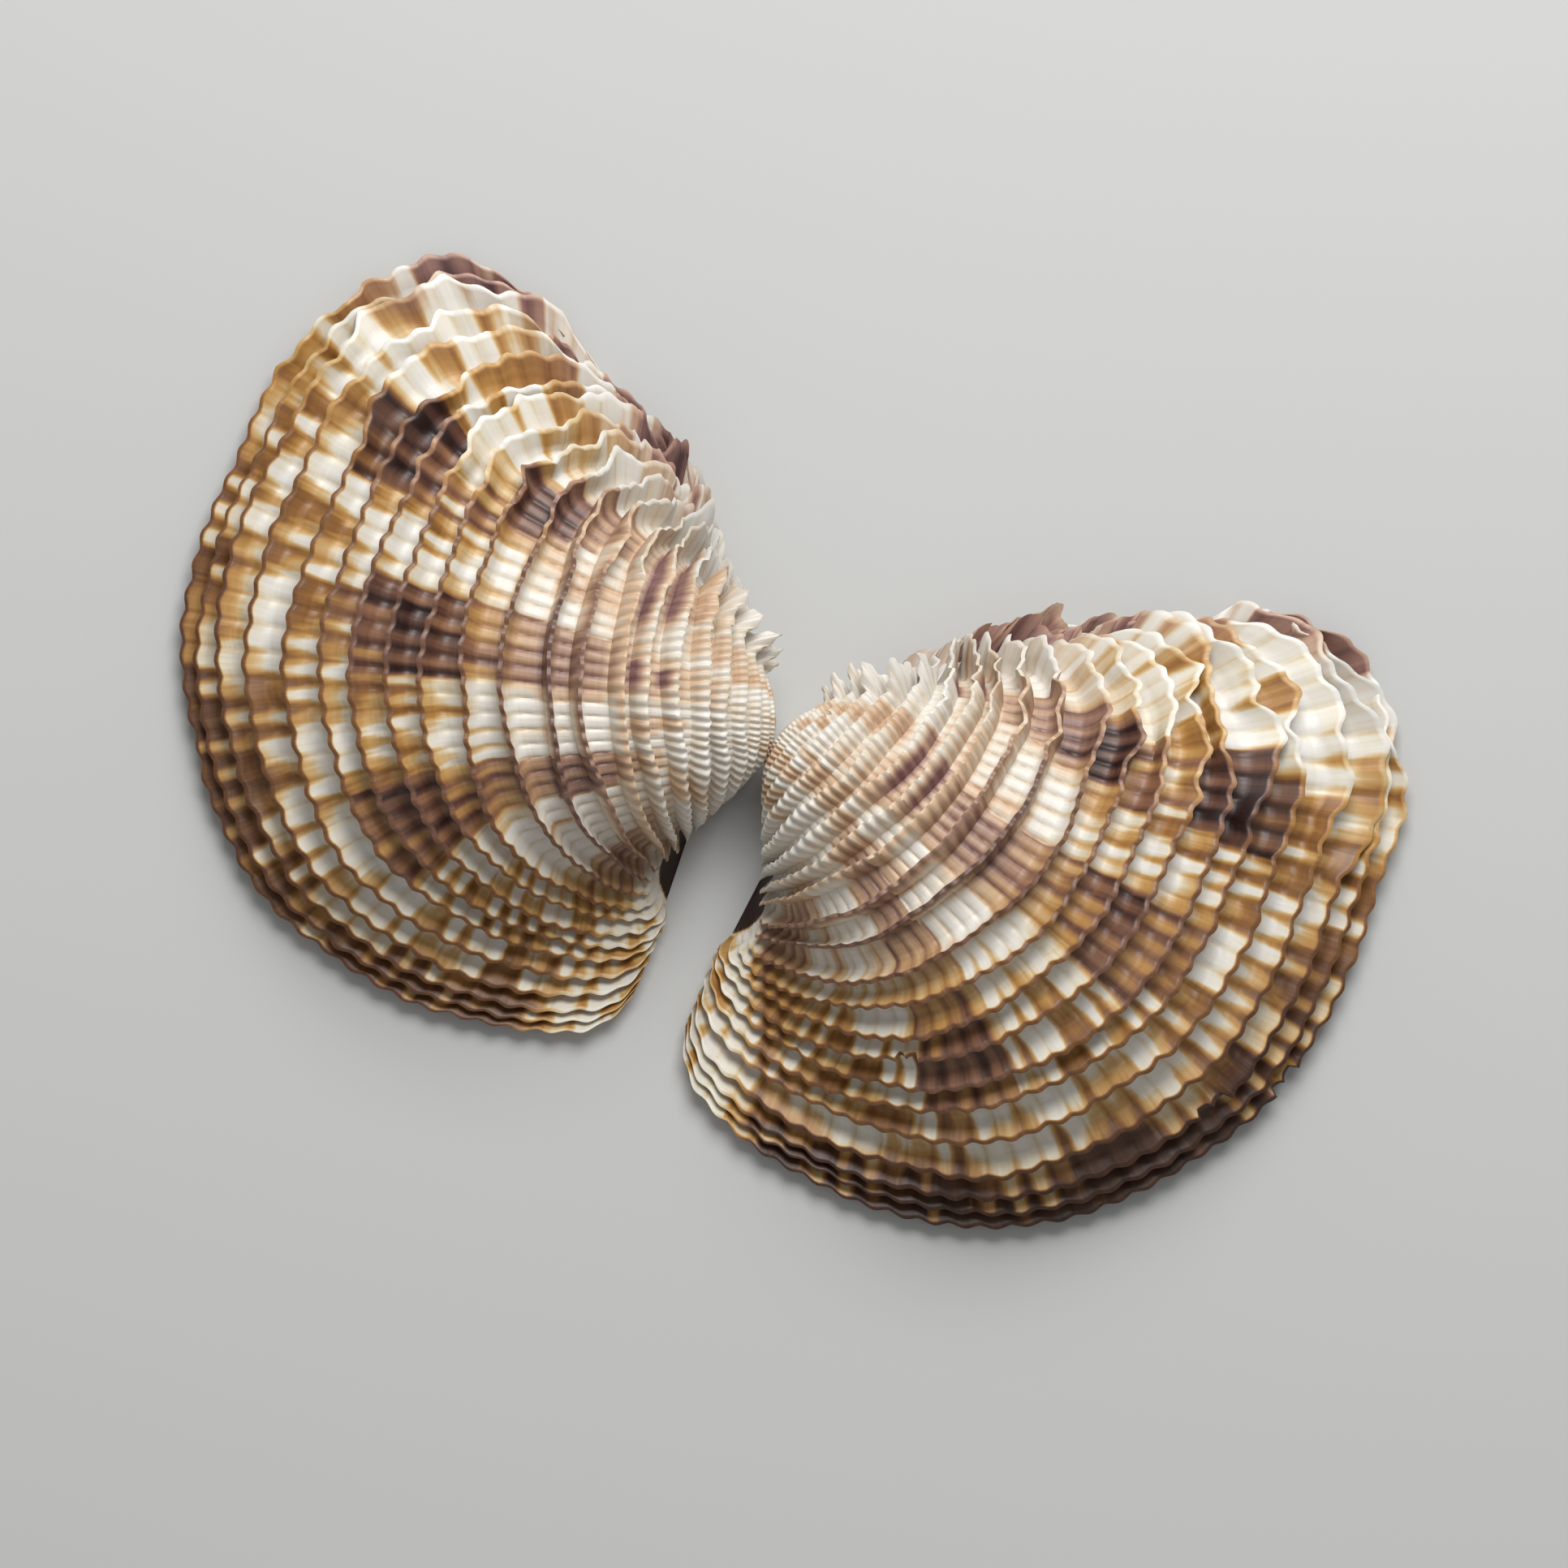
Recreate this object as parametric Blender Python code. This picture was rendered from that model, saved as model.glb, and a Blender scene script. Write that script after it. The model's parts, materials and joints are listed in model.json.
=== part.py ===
"""Lamellar venus clam shell: the two valves of one shell, opened flat, outsides up.

Each valve is a growth spiral. Its margin is a flat outline, and every earlier growth line is
the same outline, smaller and turned about an axis through the beak. Lamellae stand on the
outside at the growth rests, the inside is a smooth hollow, and the edge is a flat rim.
Inside a valve's own frame, in millimetres: the beak's pole is the origin, a runs towards the
siphon end (posterior), b runs down the disc (ventral), and z is up, away from the rim.
"""

import math

import bmesh
import bpy
from mathutils import Vector
from mathutils.bvhtree import BVHTree

MM = 0.001

# Outline of the rim as (a, b), from the hinge's posterior end round to its anterior end.
MARGIN = [
    (8.0, 0.56), (11.5, 1.1), (16.9, 3.5), (20.3, 6.8), (23.9, 10.3), (26.6, 13.7),
    (27.8, 17.5), (27.1, 22.2), (25.1, 25.9), (21.8, 28.4), (16.9, 30.6), (11.5, 32.7),
    (5.1, 33.9), (-0.5, 33.1), (-5.7, 31.4), (-10.7, 28.5), (-14.4, 24.3), (-17.0, 19.8),
    (-18.5, 15.0), (-19.1, 10.4), (-18.6, 6.9), (-16.2, 4.6), (-12.8, 4.3), (-9.5, 3.7),
    (-6.7, 2.3), (-3.85, 1.1),
]

# Growth: a line at stage s has shrunk to s and turned by COIL_RATE * ln(1 / s). The axis of
# the turn swings along the margin, and the anterior end grows a little faster than the rest.
COIL_RATE = 1.2
POSTERIOR_TILT = math.radians(4.0)
ANTERIOR_TILT = math.radians(-16.0)
TILT_FROM = math.radians(95.0)
TILT_TO = math.radians(155.0)
ANTERIOR_GROWTH = 0.18
BEAK_STAGE = 0.078
STAGE_NUDGE = 0.01

# Lamellae, by the stage of growth at which each one stands.
FIRST_STAGE = 0.165
YOUNG_RATIO = 0.85
DISC_STAGES = (0.315, 0.86)
DISC_COUNT = 13
LATE_STAGES = [0.905, 0.943, 0.968, 0.988]
LAMELLA_HEIGHT = 1.45
HEIGHT_FROM = 0.08
HEIGHT_SPAN = 0.32
LAMELLA_STEP = 0.006
POSTERIOR_GAIN = 0.35
POSTERIOR_SPAN = 0.3
ANTERIOR_LOSS = 0.5
ANTERIOR_FROM = 0.62
ANTERIOR_SPAN = 0.2
SCALLOP = 0.14
SPIKE_LENGTH = 1.2
SPIKE_REACH = 0.13
SPIKE_FROM = 0.1
SPIKE_SPAN = 0.12
SPIKE_WEAR = 0.6

# Where the lamellae stop, as shares of the margin's length.
ESCUTCHEON_END = 0.085
LUNULE_START = 0.89
FADE = 0.03

# The outside's mesh: columns along the margin, smooth rows on the beak, least height.
COLUMNS = 44
BEAK_ROWS = (1.0, 1.4, 1.9)
LEAST_HEIGHT = 0.02

# The hollow: a roof under the outside, a rim round it and a wider plate under the hinge.
WALL = 1.6
HOLLOW_CENTRE = (4.5, 17.5)
RIM_WIDTH = 2.1
HINGE_PLATE = 5.2
PLATE_DEPTH = 9.0
PLATE_COLUMNS = 3
HOLLOW_RINGS = (0.97, 0.9, 0.76, 0.52, 0.26)
ARCH_FROM = 16.8
ARCH_SPAN = 14.0
LEAST_ROOF = 0.15
STEEPEST = 0.25

# How the pair lies: each beak's pole, the way its disc points (clockwise from +Y), its size.
# The left valve's edge is cut back a little where its dorsal side turns to the posterior end.
RIGHT_VALVE = {"pole": (-3.4, -0.8), "heading": -87.0, "mirror": False, "size": 1.0, "cut_back": 0.7}
LEFT_VALVE = {"pole": (2.35, -3.45), "heading": 133.0, "mirror": True, "size": 1.02, "cut_back": 2.6}
CUT_BACK_AT = (22.0, 8.0)
CUT_BACK_REACH = 11.5

SHELL_COLOUR = (0.62, 0.43, 0.26, 1.0)
SHELL_ROUGHNESS = 0.45


def smooth(value):
    """Ease from 0 to 1 with flat ends."""
    value = min(max(value, 0.0), 1.0)
    return value * value * (3.0 - 2.0 * value)


def rounded_outline(points, steps=24):
    """Catmull-Rom curve through the points."""
    first = (2 * points[0][0] - points[1][0], 2 * points[0][1] - points[1][1])
    last = (2 * points[-1][0] - points[-2][0], 2 * points[-1][1] - points[-2][1])
    knots = [Vector(point) for point in [first] + points + [last]]
    curve = []
    for i in range(1, len(knots) - 2):
        p0, p1, p2, p3 = knots[i - 1:i + 3]
        for step in range(steps):
            u = step / steps
            linear = (p2 - p0) * u
            square = (2 * p0 - 5 * p1 + 4 * p2 - p3) * u * u
            cube = (3 * p1 - p0 - 3 * p2 + p3) * u ** 3
            curve.append((2 * p1 + linear + square + cube) / 2)
    curve.append(knots[-2])
    return curve


def cut_back(point, depth):
    """Draw a margin point towards the ventral side, most of all at the posterior shoulder."""
    away = (Vector(point) - Vector(CUT_BACK_AT)).length / CUT_BACK_REACH
    return (point[0], point[1] + depth * smooth(1.0 - away))


def margin_columns(count, depth):
    """Points spaced evenly along the margin, from the posterior hinge end to the anterior."""
    curve = rounded_outline([cut_back(point, depth) for point in MARGIN])
    reach = [0.0]
    for here, there in zip(curve, curve[1:]):
        reach.append(reach[-1] + (there - here).length)
    columns = []
    index = 0
    for i in range(count + 1):
        target = reach[-1] * i / count
        while index < len(curve) - 2 and reach[index + 1] < target:
            index += 1
        share = (target - reach[index]) / (reach[index + 1] - reach[index])
        columns.append(curve[index].lerp(curve[index + 1], min(share, 1.0)))
    return columns


def grown_point(stage, margin):
    """The point of the growth spiral below a margin point, at an earlier stage."""
    bearing = math.atan2(margin.y, margin.x)
    ease = smooth((bearing - TILT_FROM) / (TILT_TO - TILT_FROM))
    tilt = POSTERIOR_TILT + (ANTERIOR_TILT - POSTERIOR_TILT) * ease
    along = Vector((math.cos(tilt), math.sin(tilt)))
    across = Vector((-along.y, along.x))
    turn = COIL_RATE * math.log(1.0 / stage)
    radius = stage * margin.dot(across)
    reach = stage * margin.dot(along)
    if reach < 0.0:
        reach *= stage ** ANTERIOR_GROWTH
    flat = along * reach + across * (radius * math.cos(turn))
    return Vector((flat.x, flat.y, radius * math.sin(turn)))


def outward(stage, columns, index):
    """Unit normal of the smooth spiral surface."""
    older = grown_point(stage * (1.0 + STAGE_NUDGE), columns[index])
    younger = grown_point(stage * (1.0 - STAGE_NUDGE), columns[index])
    before = grown_point(stage, columns[max(index - 1, 0)])
    after = grown_point(stage, columns[min(index + 1, len(columns) - 1)])
    normal = (older - younger).cross(after - before)
    return normal.normalized() if normal.length > 1e-9 else Vector((0.0, 0.0, 1.0))


def lamella_stages():
    """Growth stages of the lamellae, crowded at the beak and again at the margin."""
    low, high = DISC_STAGES
    disc = [low + (high - low) * i / (DISC_COUNT - 1) for i in range(DISC_COUNT)]
    young = []
    while not young or young[0] > FIRST_STAGE:
        young.insert(0, (young or disc)[0] * YOUNG_RATIO)
    return young + disc + LATE_STAGES


def lamella_height(stage, index, count):
    """Height of a lamella's crest over the smooth surface, in one column."""
    place = index / count
    from_ridge = place - ESCUTCHEON_END
    to_lunule = LUNULE_START - place
    cover = smooth(from_ridge / FADE) * smooth(to_lunule / FADE)
    posterior = POSTERIOR_GAIN * smooth(1.0 - from_ridge / POSTERIOR_SPAN)
    anterior = ANTERIOR_LOSS * smooth((place - ANTERIOR_FROM) / ANTERIOR_SPAN)
    side = 1.0 if index % 2 else -1.0
    grown = smooth((stage - HEIGHT_FROM) / HEIGHT_SPAN)
    blade = LAMELLA_HEIGHT * grown * (1.0 + posterior - anterior + SCALLOP * side)
    sharp = smooth((stage - SPIKE_FROM) / SPIKE_SPAN) * (1.0 - SPIKE_WEAR * stage)
    spike = SPIKE_LENGTH * sharp * smooth(1.0 - from_ridge / SPIKE_REACH) * (1.0 + side / 2)
    return cover * (blade + spike)


def outer_rows(columns, lifted=True):
    """Rows of points from the beak to the margin, with the lamellae or without them."""
    rows = [(BEAK_STAGE * share, 0.0) for share in BEAK_ROWS]
    for stage in lamella_stages():
        rows += [(stage, 1.0), (stage + LAMELLA_STEP, 0.0)]
    rows.append((1.0, 0.0))
    count = len(columns) - 1
    grid = []
    for stage, lift in rows:
        row = []
        for index, margin in enumerate(columns):
            point = grown_point(stage, margin)
            if lifted and lift:
                height = lamella_height(stage, index, count)
                point = point + outward(stage, columns, index) * height
            at_edge = index in (0, count) or stage in (1.0, BEAK_STAGE)
            point.z = 0.0 if at_edge else max(point.z, LEAST_HEIGHT)
            row.append(point)
        grid.append(row)
    return grid


def grid_faces(rows, width):
    """Quads of a grid of vertex numbers, row by row."""
    faces = []
    for r in range(rows - 1):
        for c in range(width - 1):
            a = r * width + c
            faces.append((a, a + 1, a + width + 1, a + width))
    return faces


def hollow_edge(columns):
    """The hollow's mouth in the rim plane: the margin drawn in, more so under the hinge."""
    centre = Vector(HOLLOW_CENTRE)
    edge = []
    for margin in columns[PLATE_COLUMNS:-PLATE_COLUMNS]:
        ray = margin - centre
        inset = RIM_WIDTH + (HINGE_PLATE - RIM_WIDTH) * smooth(1.0 - margin.y / PLATE_DEPTH)
        edge.append(centre + ray * (1.0 - inset / ray.length))
    return edge


def hollow_points(columns):
    """Rings of the hollow's roof, each under the smooth outside by the wall's thickness."""
    smooth_rows = outer_rows(columns, lifted=False)
    points = [point for row in smooth_rows for point in row]
    tree = BVHTree.FromPolygons(points, grid_faces(len(smooth_rows), len(columns)))
    edge = hollow_edge(columns)
    centre = Vector(HOLLOW_CENTRE)

    def roof(spot):
        hit, normal, _face, _far = tree.ray_cast(Vector((spot.x, spot.y, 0.0)), Vector((0, 0, 1)))
        return max(hit.z - WALL / max(abs(normal.z), STEEPEST), 0.0)

    rings = []
    for share in HOLLOW_RINGS:
        ring = []
        for spot in edge:
            flat = centre.lerp(spot, share)
            dorsal = smooth((ARCH_FROM - spot.y) / ARCH_SPAN)
            arch = 1.0 + (math.sqrt(1.0 - share * share) - 1.0) * dorsal
            ring.append(Vector((flat.x, flat.y, max(roof(flat) * arch, LEAST_ROOF))))
        rings.append(ring)
    return edge, rings, Vector((centre.x, centre.y, roof(centre)))


def add_rim(mesh, outer_loop, inner_loop):
    """Fill the flat face between the outside's edge and the hollow's mouth."""
    edges = []
    for loop in (outer_loop, inner_loop):
        for here, there in zip(loop, loop[1:] + loop[:1]):
            edges.append(mesh.edges.get((here, there)) or mesh.edges.new((here, there)))
    bmesh.ops.triangle_fill(mesh, use_beauty=True, edges=edges, normal=(0, 0, -1))


def valve_mesh(depth):
    """One closed valve in its own frame, millimetres."""
    columns = margin_columns(COLUMNS, depth)
    mesh = bmesh.new()
    grid = [[mesh.verts.new(point) for point in row] for row in outer_rows(columns)]
    for upper, lower in zip(grid, grid[1:]):
        for c in range(COLUMNS):
            mesh.faces.new((upper[c], upper[c + 1], lower[c + 1], lower[c]))

    edge, rings, crown = hollow_points(columns)
    mouth = [mesh.verts.new((spot.x, spot.y, 0.0)) for spot in edge]
    loops = [mouth] + [[mesh.verts.new(point) for point in ring] for ring in rings]
    for wide, narrow in zip(loops, loops[1:]):
        for c in range(len(mouth)):
            d = (c + 1) % len(mouth)
            mesh.faces.new((wide[c], narrow[c], narrow[d], wide[d]))
    top = mesh.verts.new(crown)
    for c in range(len(mouth)):
        mesh.faces.new((loops[-1][c], top, loops[-1][(c + 1) % len(mouth)]))

    left_side = [row[0] for row in grid]
    right_side = [row[-1] for row in grid]
    border = grid[-1] + right_side[-2:0:-1] + grid[0][::-1] + left_side[1:-1]
    add_rim(mesh, border, mouth)
    bmesh.ops.triangulate(mesh, faces=[face for face in mesh.faces if len(face.verts) > 3])
    bmesh.ops.recalc_face_normals(mesh, faces=mesh.faces)
    return mesh


def place(mesh, valve):
    """Turn a valve from its own frame to where it lies in the pair, in metres."""
    heading = math.radians(valve["heading"])
    ventral = Vector((math.sin(heading), math.cos(heading), 0.0))
    posterior = Vector((math.cos(heading), -math.sin(heading), 0.0))
    if valve["mirror"]:
        posterior = -posterior
    pole = Vector((*valve["pole"], 0.0))
    for vert in mesh.verts:
        flat = posterior * vert.co.x + ventral * vert.co.y
        lifted = Vector((0.0, 0.0, vert.co.z))
        vert.co = (pole + (flat + lifted) * valve["size"]) * MM
    if mesh.calc_volume(signed=True) < 0.0:
        bmesh.ops.reverse_faces(mesh, faces=mesh.faces)


def shell_material(name):
    """Glossy limestone in the shell's average tan."""
    material = bpy.data.materials.new(name)
    material.use_nodes = True
    shader = material.node_tree.nodes["Principled BSDF"]
    shader.inputs["Base Color"].default_value = SHELL_COLOUR
    shader.inputs["Roughness"].default_value = SHELL_ROUGHNESS
    shader.inputs["Metallic"].default_value = 0.0
    return material


def make_valve(name, valve):
    """A valve as an object with its own mesh and material."""
    mesh = valve_mesh(valve["cut_back"])
    place(mesh, valve)
    data = bpy.data.meshes.new(name)
    mesh.to_mesh(data)
    mesh.free()
    data.materials.append(shell_material(name + "_shell"))
    result = bpy.data.objects.new(name, data)
    bpy.context.scene.collection.objects.link(result)
    return result


def centre_on_origin(pieces):
    """Move the pair so that the origin is under the middle of its box."""
    corners = [vert.co for piece in pieces for vert in piece.data.vertices]
    middle_x = (min(c.x for c in corners) + max(c.x for c in corners)) / 2
    middle_y = (min(c.y for c in corners) + max(c.y for c in corners)) / 2
    for piece in pieces:
        for vert in piece.data.vertices:
            vert.co -= Vector((middle_x, middle_y, 0.0))
    print("pair centre in mm:", round(middle_x / MM, 3), round(middle_y / MM, 3))


def main():
    for old in list(bpy.data.objects):
        bpy.data.objects.remove(old, do_unlink=True)
    pieces = [make_valve("right_valve", RIGHT_VALVE), make_valve("left_valve", LEFT_VALVE)]
    centre_on_origin(pieces)
    for piece in pieces:
        print(piece.name, len(piece.data.polygons), "triangles")


main()
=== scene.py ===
# %% [markdown]
# # A lamellar venus clam, opened flat
#
# One sea shell has two valves. Here they lie side by side with their outsides up, touching at
# their beaks. A valve is a growth spiral: the animal adds shell along one edge only, so each
# older edge is the same outline, smaller and rolled over. Thin plates, the lamellae, stand
# where growth paused, and fine ribs cross them.
#
# This lesson lays a fine mesh on that spiral, closes it with a hollow underside, and colours it
# from what the growth itself knows: which rib and which band each point belongs to.

import json
import math

import bpy
import numpy as np
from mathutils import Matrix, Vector
from mathutils.bvhtree import BVHTree

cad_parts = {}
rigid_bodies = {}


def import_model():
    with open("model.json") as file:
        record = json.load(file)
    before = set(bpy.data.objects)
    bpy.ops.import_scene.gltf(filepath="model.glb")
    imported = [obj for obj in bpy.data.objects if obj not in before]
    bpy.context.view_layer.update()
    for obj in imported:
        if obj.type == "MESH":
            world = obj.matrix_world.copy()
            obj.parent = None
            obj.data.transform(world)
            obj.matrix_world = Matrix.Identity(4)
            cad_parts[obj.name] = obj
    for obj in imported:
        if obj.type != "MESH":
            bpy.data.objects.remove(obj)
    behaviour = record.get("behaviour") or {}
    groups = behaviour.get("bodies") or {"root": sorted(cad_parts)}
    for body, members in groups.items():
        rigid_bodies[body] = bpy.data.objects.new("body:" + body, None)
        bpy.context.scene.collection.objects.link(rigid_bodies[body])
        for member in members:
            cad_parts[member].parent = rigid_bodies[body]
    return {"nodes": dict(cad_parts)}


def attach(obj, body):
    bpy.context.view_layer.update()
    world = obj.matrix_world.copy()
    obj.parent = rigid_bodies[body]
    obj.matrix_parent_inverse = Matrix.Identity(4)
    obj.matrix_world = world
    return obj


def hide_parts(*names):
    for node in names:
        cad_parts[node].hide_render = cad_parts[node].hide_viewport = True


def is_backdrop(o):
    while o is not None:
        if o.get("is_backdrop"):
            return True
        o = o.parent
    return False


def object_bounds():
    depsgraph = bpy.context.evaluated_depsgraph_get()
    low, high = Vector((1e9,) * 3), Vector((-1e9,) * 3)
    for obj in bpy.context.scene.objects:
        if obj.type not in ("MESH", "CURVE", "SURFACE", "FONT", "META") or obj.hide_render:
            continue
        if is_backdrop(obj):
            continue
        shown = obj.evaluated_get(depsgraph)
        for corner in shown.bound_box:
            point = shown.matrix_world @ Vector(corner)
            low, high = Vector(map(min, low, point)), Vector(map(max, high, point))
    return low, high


for leftover in list(bpy.data.objects):
    bpy.data.objects.remove(leftover, do_unlink=True)
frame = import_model()
cad_low, cad_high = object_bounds()
cad_size = [round(v * 1000, 2) for v in cad_high - cad_low]
print("solids:", sorted(frame["nodes"]), "box in mm:", cad_size)

# %% [markdown]
# ## The outline and the spiral
#
# The rim's outline is a smooth curve through a few measured points. `a` runs to the siphon end
# (posterior) and `b` down the disc (ventral). A line at stage 1 is the rim, and a line at stage
# 0.5 was the rim when the shell was half its length. Between the two the line shrinks and turns
# about an axis through the beak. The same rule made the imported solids, so a fine mesh laid on
# it fits them with nothing to align.

# %% Outline and spiral
MM = 0.001
MARGIN = [
    (8.0, 0.56), (11.5, 1.1), (16.9, 3.5), (20.3, 6.8), (23.9, 10.3), (26.6, 13.7),
    (27.8, 17.5), (27.1, 22.2), (25.1, 25.9), (21.8, 28.4), (16.9, 30.6), (11.5, 32.7),
    (5.1, 33.9), (-0.5, 33.1), (-5.7, 31.4), (-10.7, 28.5), (-14.4, 24.3), (-17.0, 19.8),
    (-18.5, 15.0), (-19.1, 10.4), (-18.6, 6.9), (-16.2, 4.6), (-12.8, 4.3), (-9.5, 3.7),
    (-6.7, 2.3), (-3.85, 1.1),
]
CUT_BACK_AT = (22.0, 8.0)
CUT_BACK_REACH = 11.5
COIL_RATE = 1.2
POSTERIOR_TILT = math.radians(4.0)
ANTERIOR_TILT = math.radians(-16.0)
TILT_FROM = math.radians(95.0)
TILT_TO = math.radians(155.0)
ANTERIOR_GROWTH = 0.18
BEAK_STAGE = 0.078
NUDGE = 0.004
CURVE_STEPS = 24


def smooth(value):
    """Ease from 0 to 1 with flat ends."""
    value = np.clip(value, 0.0, 1.0)
    return value * value * (3.0 - 2.0 * value)


def rise(value, start, span):
    """0 up to the start, 1 from a span further on."""
    return smooth((value - start) / span)


def fall(value, end, span):
    """1 up to a span before the end, 0 from the end on."""
    return smooth((end - value) / span)


def unit(vectors):
    """The same directions with length 1."""
    return vectors / np.maximum(np.linalg.norm(vectors, axis=-1, keepdims=True), 1e-9)


def margin_curve(depth):
    """The rim's outline as many points, its posterior shoulder cut back by depth."""
    points = np.array(MARGIN)
    away = np.linalg.norm(points - np.array(CUT_BACK_AT), axis=1) / CUT_BACK_REACH
    points[:, 1] += depth * smooth(1.0 - away)
    knots = np.vstack([2 * points[0] - points[1], points, 2 * points[-1] - points[-2]])
    u = (np.arange(CURVE_STEPS) / CURVE_STEPS)[:, None]
    spans = []
    for p0, p1, p2, p3 in zip(knots, knots[1:], knots[2:], knots[3:]):
        square = (2 * p0 - 5 * p1 + 4 * p2 - p3) * u * u
        cube = (3 * p1 - p0 - 3 * p2 + p3) * u ** 3
        spans.append((2 * p1 + (p2 - p0) * u + square + cube) / 2)
    return np.vstack(spans + [points[-1:]])


def margin_at(places, depth):
    """Rim points at the given shares of the rim's length, from the posterior hinge end."""
    curve = margin_curve(depth)
    steps = np.linalg.norm(np.diff(curve, axis=0), axis=1)
    reach = np.concatenate([[0.0], np.cumsum(steps)]) / steps.sum()
    return np.stack([np.interp(places, reach, curve[:, axis]) for axis in (0, 1)], axis=-1)


def grown(stage, margin):
    """Points of the spiral below the given rim points, at earlier stages."""
    bearing = np.arctan2(margin[..., 1], margin[..., 0])
    ease = rise(bearing, TILT_FROM, TILT_TO - TILT_FROM)
    tilt = POSTERIOR_TILT + (ANTERIOR_TILT - POSTERIOR_TILT) * ease
    turn = COIL_RATE * np.log(1.0 / stage)
    reach = stage * (margin[..., 0] * np.cos(tilt) + margin[..., 1] * np.sin(tilt))
    radius = stage * (margin[..., 1] * np.cos(tilt) - margin[..., 0] * np.sin(tilt))
    reach = np.where(reach < 0.0, reach * stage ** ANTERIOR_GROWTH, reach)
    out = radius * np.cos(turn)
    across = np.cos(tilt) * reach - np.sin(tilt) * out
    down = np.sin(tilt) * reach + np.cos(tilt) * out
    return np.stack([across, down, radius * np.sin(turn)], axis=-1)


rim_steps = np.linalg.norm(np.diff(margin_curve(0.0), axis=0), axis=1)
print("rim length in mm:", round(float(rim_steps.sum()), 1))

# %% [markdown]
# ## Ribs and columns
#
# Ribs run from the beak to the rim and widen as the shell grows, so a rib keeps its share of
# the rim. Giving each rib the same number of mesh columns puts every groove on a line of
# vertices. The hinge's two smooth fields, the escutcheon and the lunule, have no ribs and need
# few columns.

# %% Columns along the rim
RIBS = 49
RIB_COLUMNS = 8
FIELD_COLUMNS = 14
ESCUTCHEON_END = 0.085
LUNULE_START = 0.89

ribbed = np.linspace(ESCUTCHEON_END, LUNULE_START, RIBS * RIB_COLUMNS + 1)
PLACES = np.concatenate([
    np.linspace(0.0, ESCUTCHEON_END, FIELD_COLUMNS, endpoint=False),
    ribbed,
    np.linspace(LUNULE_START, 1.0, FIELD_COLUMNS + 1)[1:],
])
RIB_AT = (PLACES - ESCUTCHEON_END) / (LUNULE_START - ESCUTCHEON_END) * RIBS
COLUMNS = len(PLACES) - 1
print(RIBS, "ribs on", COLUMNS, "columns")

# %% [markdown]
# ## The section of one growth band
#
# Cut across a band and the line runs along the ribbed floor, sweeps up the hollow back of the
# next lamella, turns over its thin edge and drops down its front. A short list of rows holds
# that section once. Each row says how far it lies from the lamella along the surface, how high
# it stands as a share of the lamella's height, and how much of the lamella's wave it takes.

# %% Rows from the beak to the rim
STAGES = np.array([
    0.163, 0.190, 0.218, 0.250, 0.284, 0.318, 0.354, 0.388, 0.418, 0.461, 0.499,
    0.547, 0.591, 0.633, 0.675, 0.721, 0.761, 0.813, 0.872, 0.922, 0.953, 0.979,
])
BANDS = len(STAGES)
WIDE_BANDS = (0.45, 0.9)
FLOOR_ROWS = 1
WIDE_FLOOR_ROWS = 2
BEAK_WRINKLES = 7

# Offset in mm, share of height, share of wave, place in the band, front side, edge.
SECTION = [
    (-0.85, 0.00, 0.00, 0.50, 0, 0),
    (-0.48, 0.09, 0.15, 0.64, 0, 0),
    (-0.26, 0.42, 0.55, 0.80, 0, 0),
    (-0.17, 0.90, 0.95, 0.96, 0, 0),
    (-0.13, 0.99, 1.00, 1.00, 0, 1),
    (0.12, 1.00, 1.00, 1.00, 1, 1),
    (0.15, 0.52, 0.70, 0.92, 1, 0),
    (0.18, 0.02, 0.20, 0.84, 1, 0),
]
# The last row is the rim itself.
RIM_ROW = (BANDS, 0.0, 0.0, 0.5, 0.5, 0, 1, 1.0)

row_names = ("band", "offset", "lift", "wave", "along", "front", "edge", "floor")
rows = []
for band in range(BANDS):
    wide = WIDE_BANDS[0] < STAGES[band] < WIDE_BANDS[1]
    floors = BEAK_WRINKLES if band == 0 else WIDE_FLOOR_ROWS if wide else FLOOR_ROWS
    for step in range(floors):
        share = (step + (band > 0)) / (floors + (band > 0))
        rows.append((band, 0.0, 0.0, 0.0, SECTION[0][3] * share, 0, 0, share))
    rows += [(band, *line, -1.0) for line in SECTION]
rows.append(RIM_ROW)
ROWS = {name: np.array(column, float)[:, None] for name, column in zip(row_names, zip(*rows))}
print(BANDS, "lamellae on", len(rows), "rows")

# %% [markdown]
# ## How tall the lamellae stand
#
# A lamella is a thin plate. It grows taller with the shell, is tallest at the siphon end and
# lower at the foot end, where it tapers off beside the smooth lunule. Near the hinge each plate
# carries one or two sharp teeth, which lie nearer the middle of the rim on the young shell. Each
# rib lifts the plate's edge into a scallop, and no two are quite alike, so seeded random numbers
# are drawn for every plate.

# %% Lamella height
LAMELLA_HEIGHT = 1.4
HEIGHT_FROM = 0.08
HEIGHT_SPAN = 0.32
POSTERIOR_GAIN = 0.8
POSTERIOR_SPAN = 0.3
ANTERIOR_LOSS = 0.15
ANTERIOR_FROM = 0.62
ANTERIOR_SPAN = 0.2
SPIKE_LENGTH = 1.9
SPIKE_AT = (0.142, 0.106)
SPIKE_HALF_WIDTH = (0.026, 0.012)
SPIKE_SHARE = (1.0, 0.35)
SPIKE_YOUNG = 0.19
SPIKE_AGE = 0.22
SPIKE_AGE_SPAN = 0.33
SPIKE_FROM = 0.1
SPIKE_SPAN = 0.12
SPIKE_WEAR = 0.75
SPIKE_SCATTER = 0.012
SPIKE_SIZES = (0.6, 1.2)
RUFF_SHARES = [(0.8, 0.0), (0.872, -0.3), (0.922, 0.15), (0.953, -0.55), (0.979, -0.4)]
RUFF_FADE = 0.016
FOOT_FADE = 0.010
FOOT_TAPER = 0.02
RUFF_EDGE = 0.25
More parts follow.
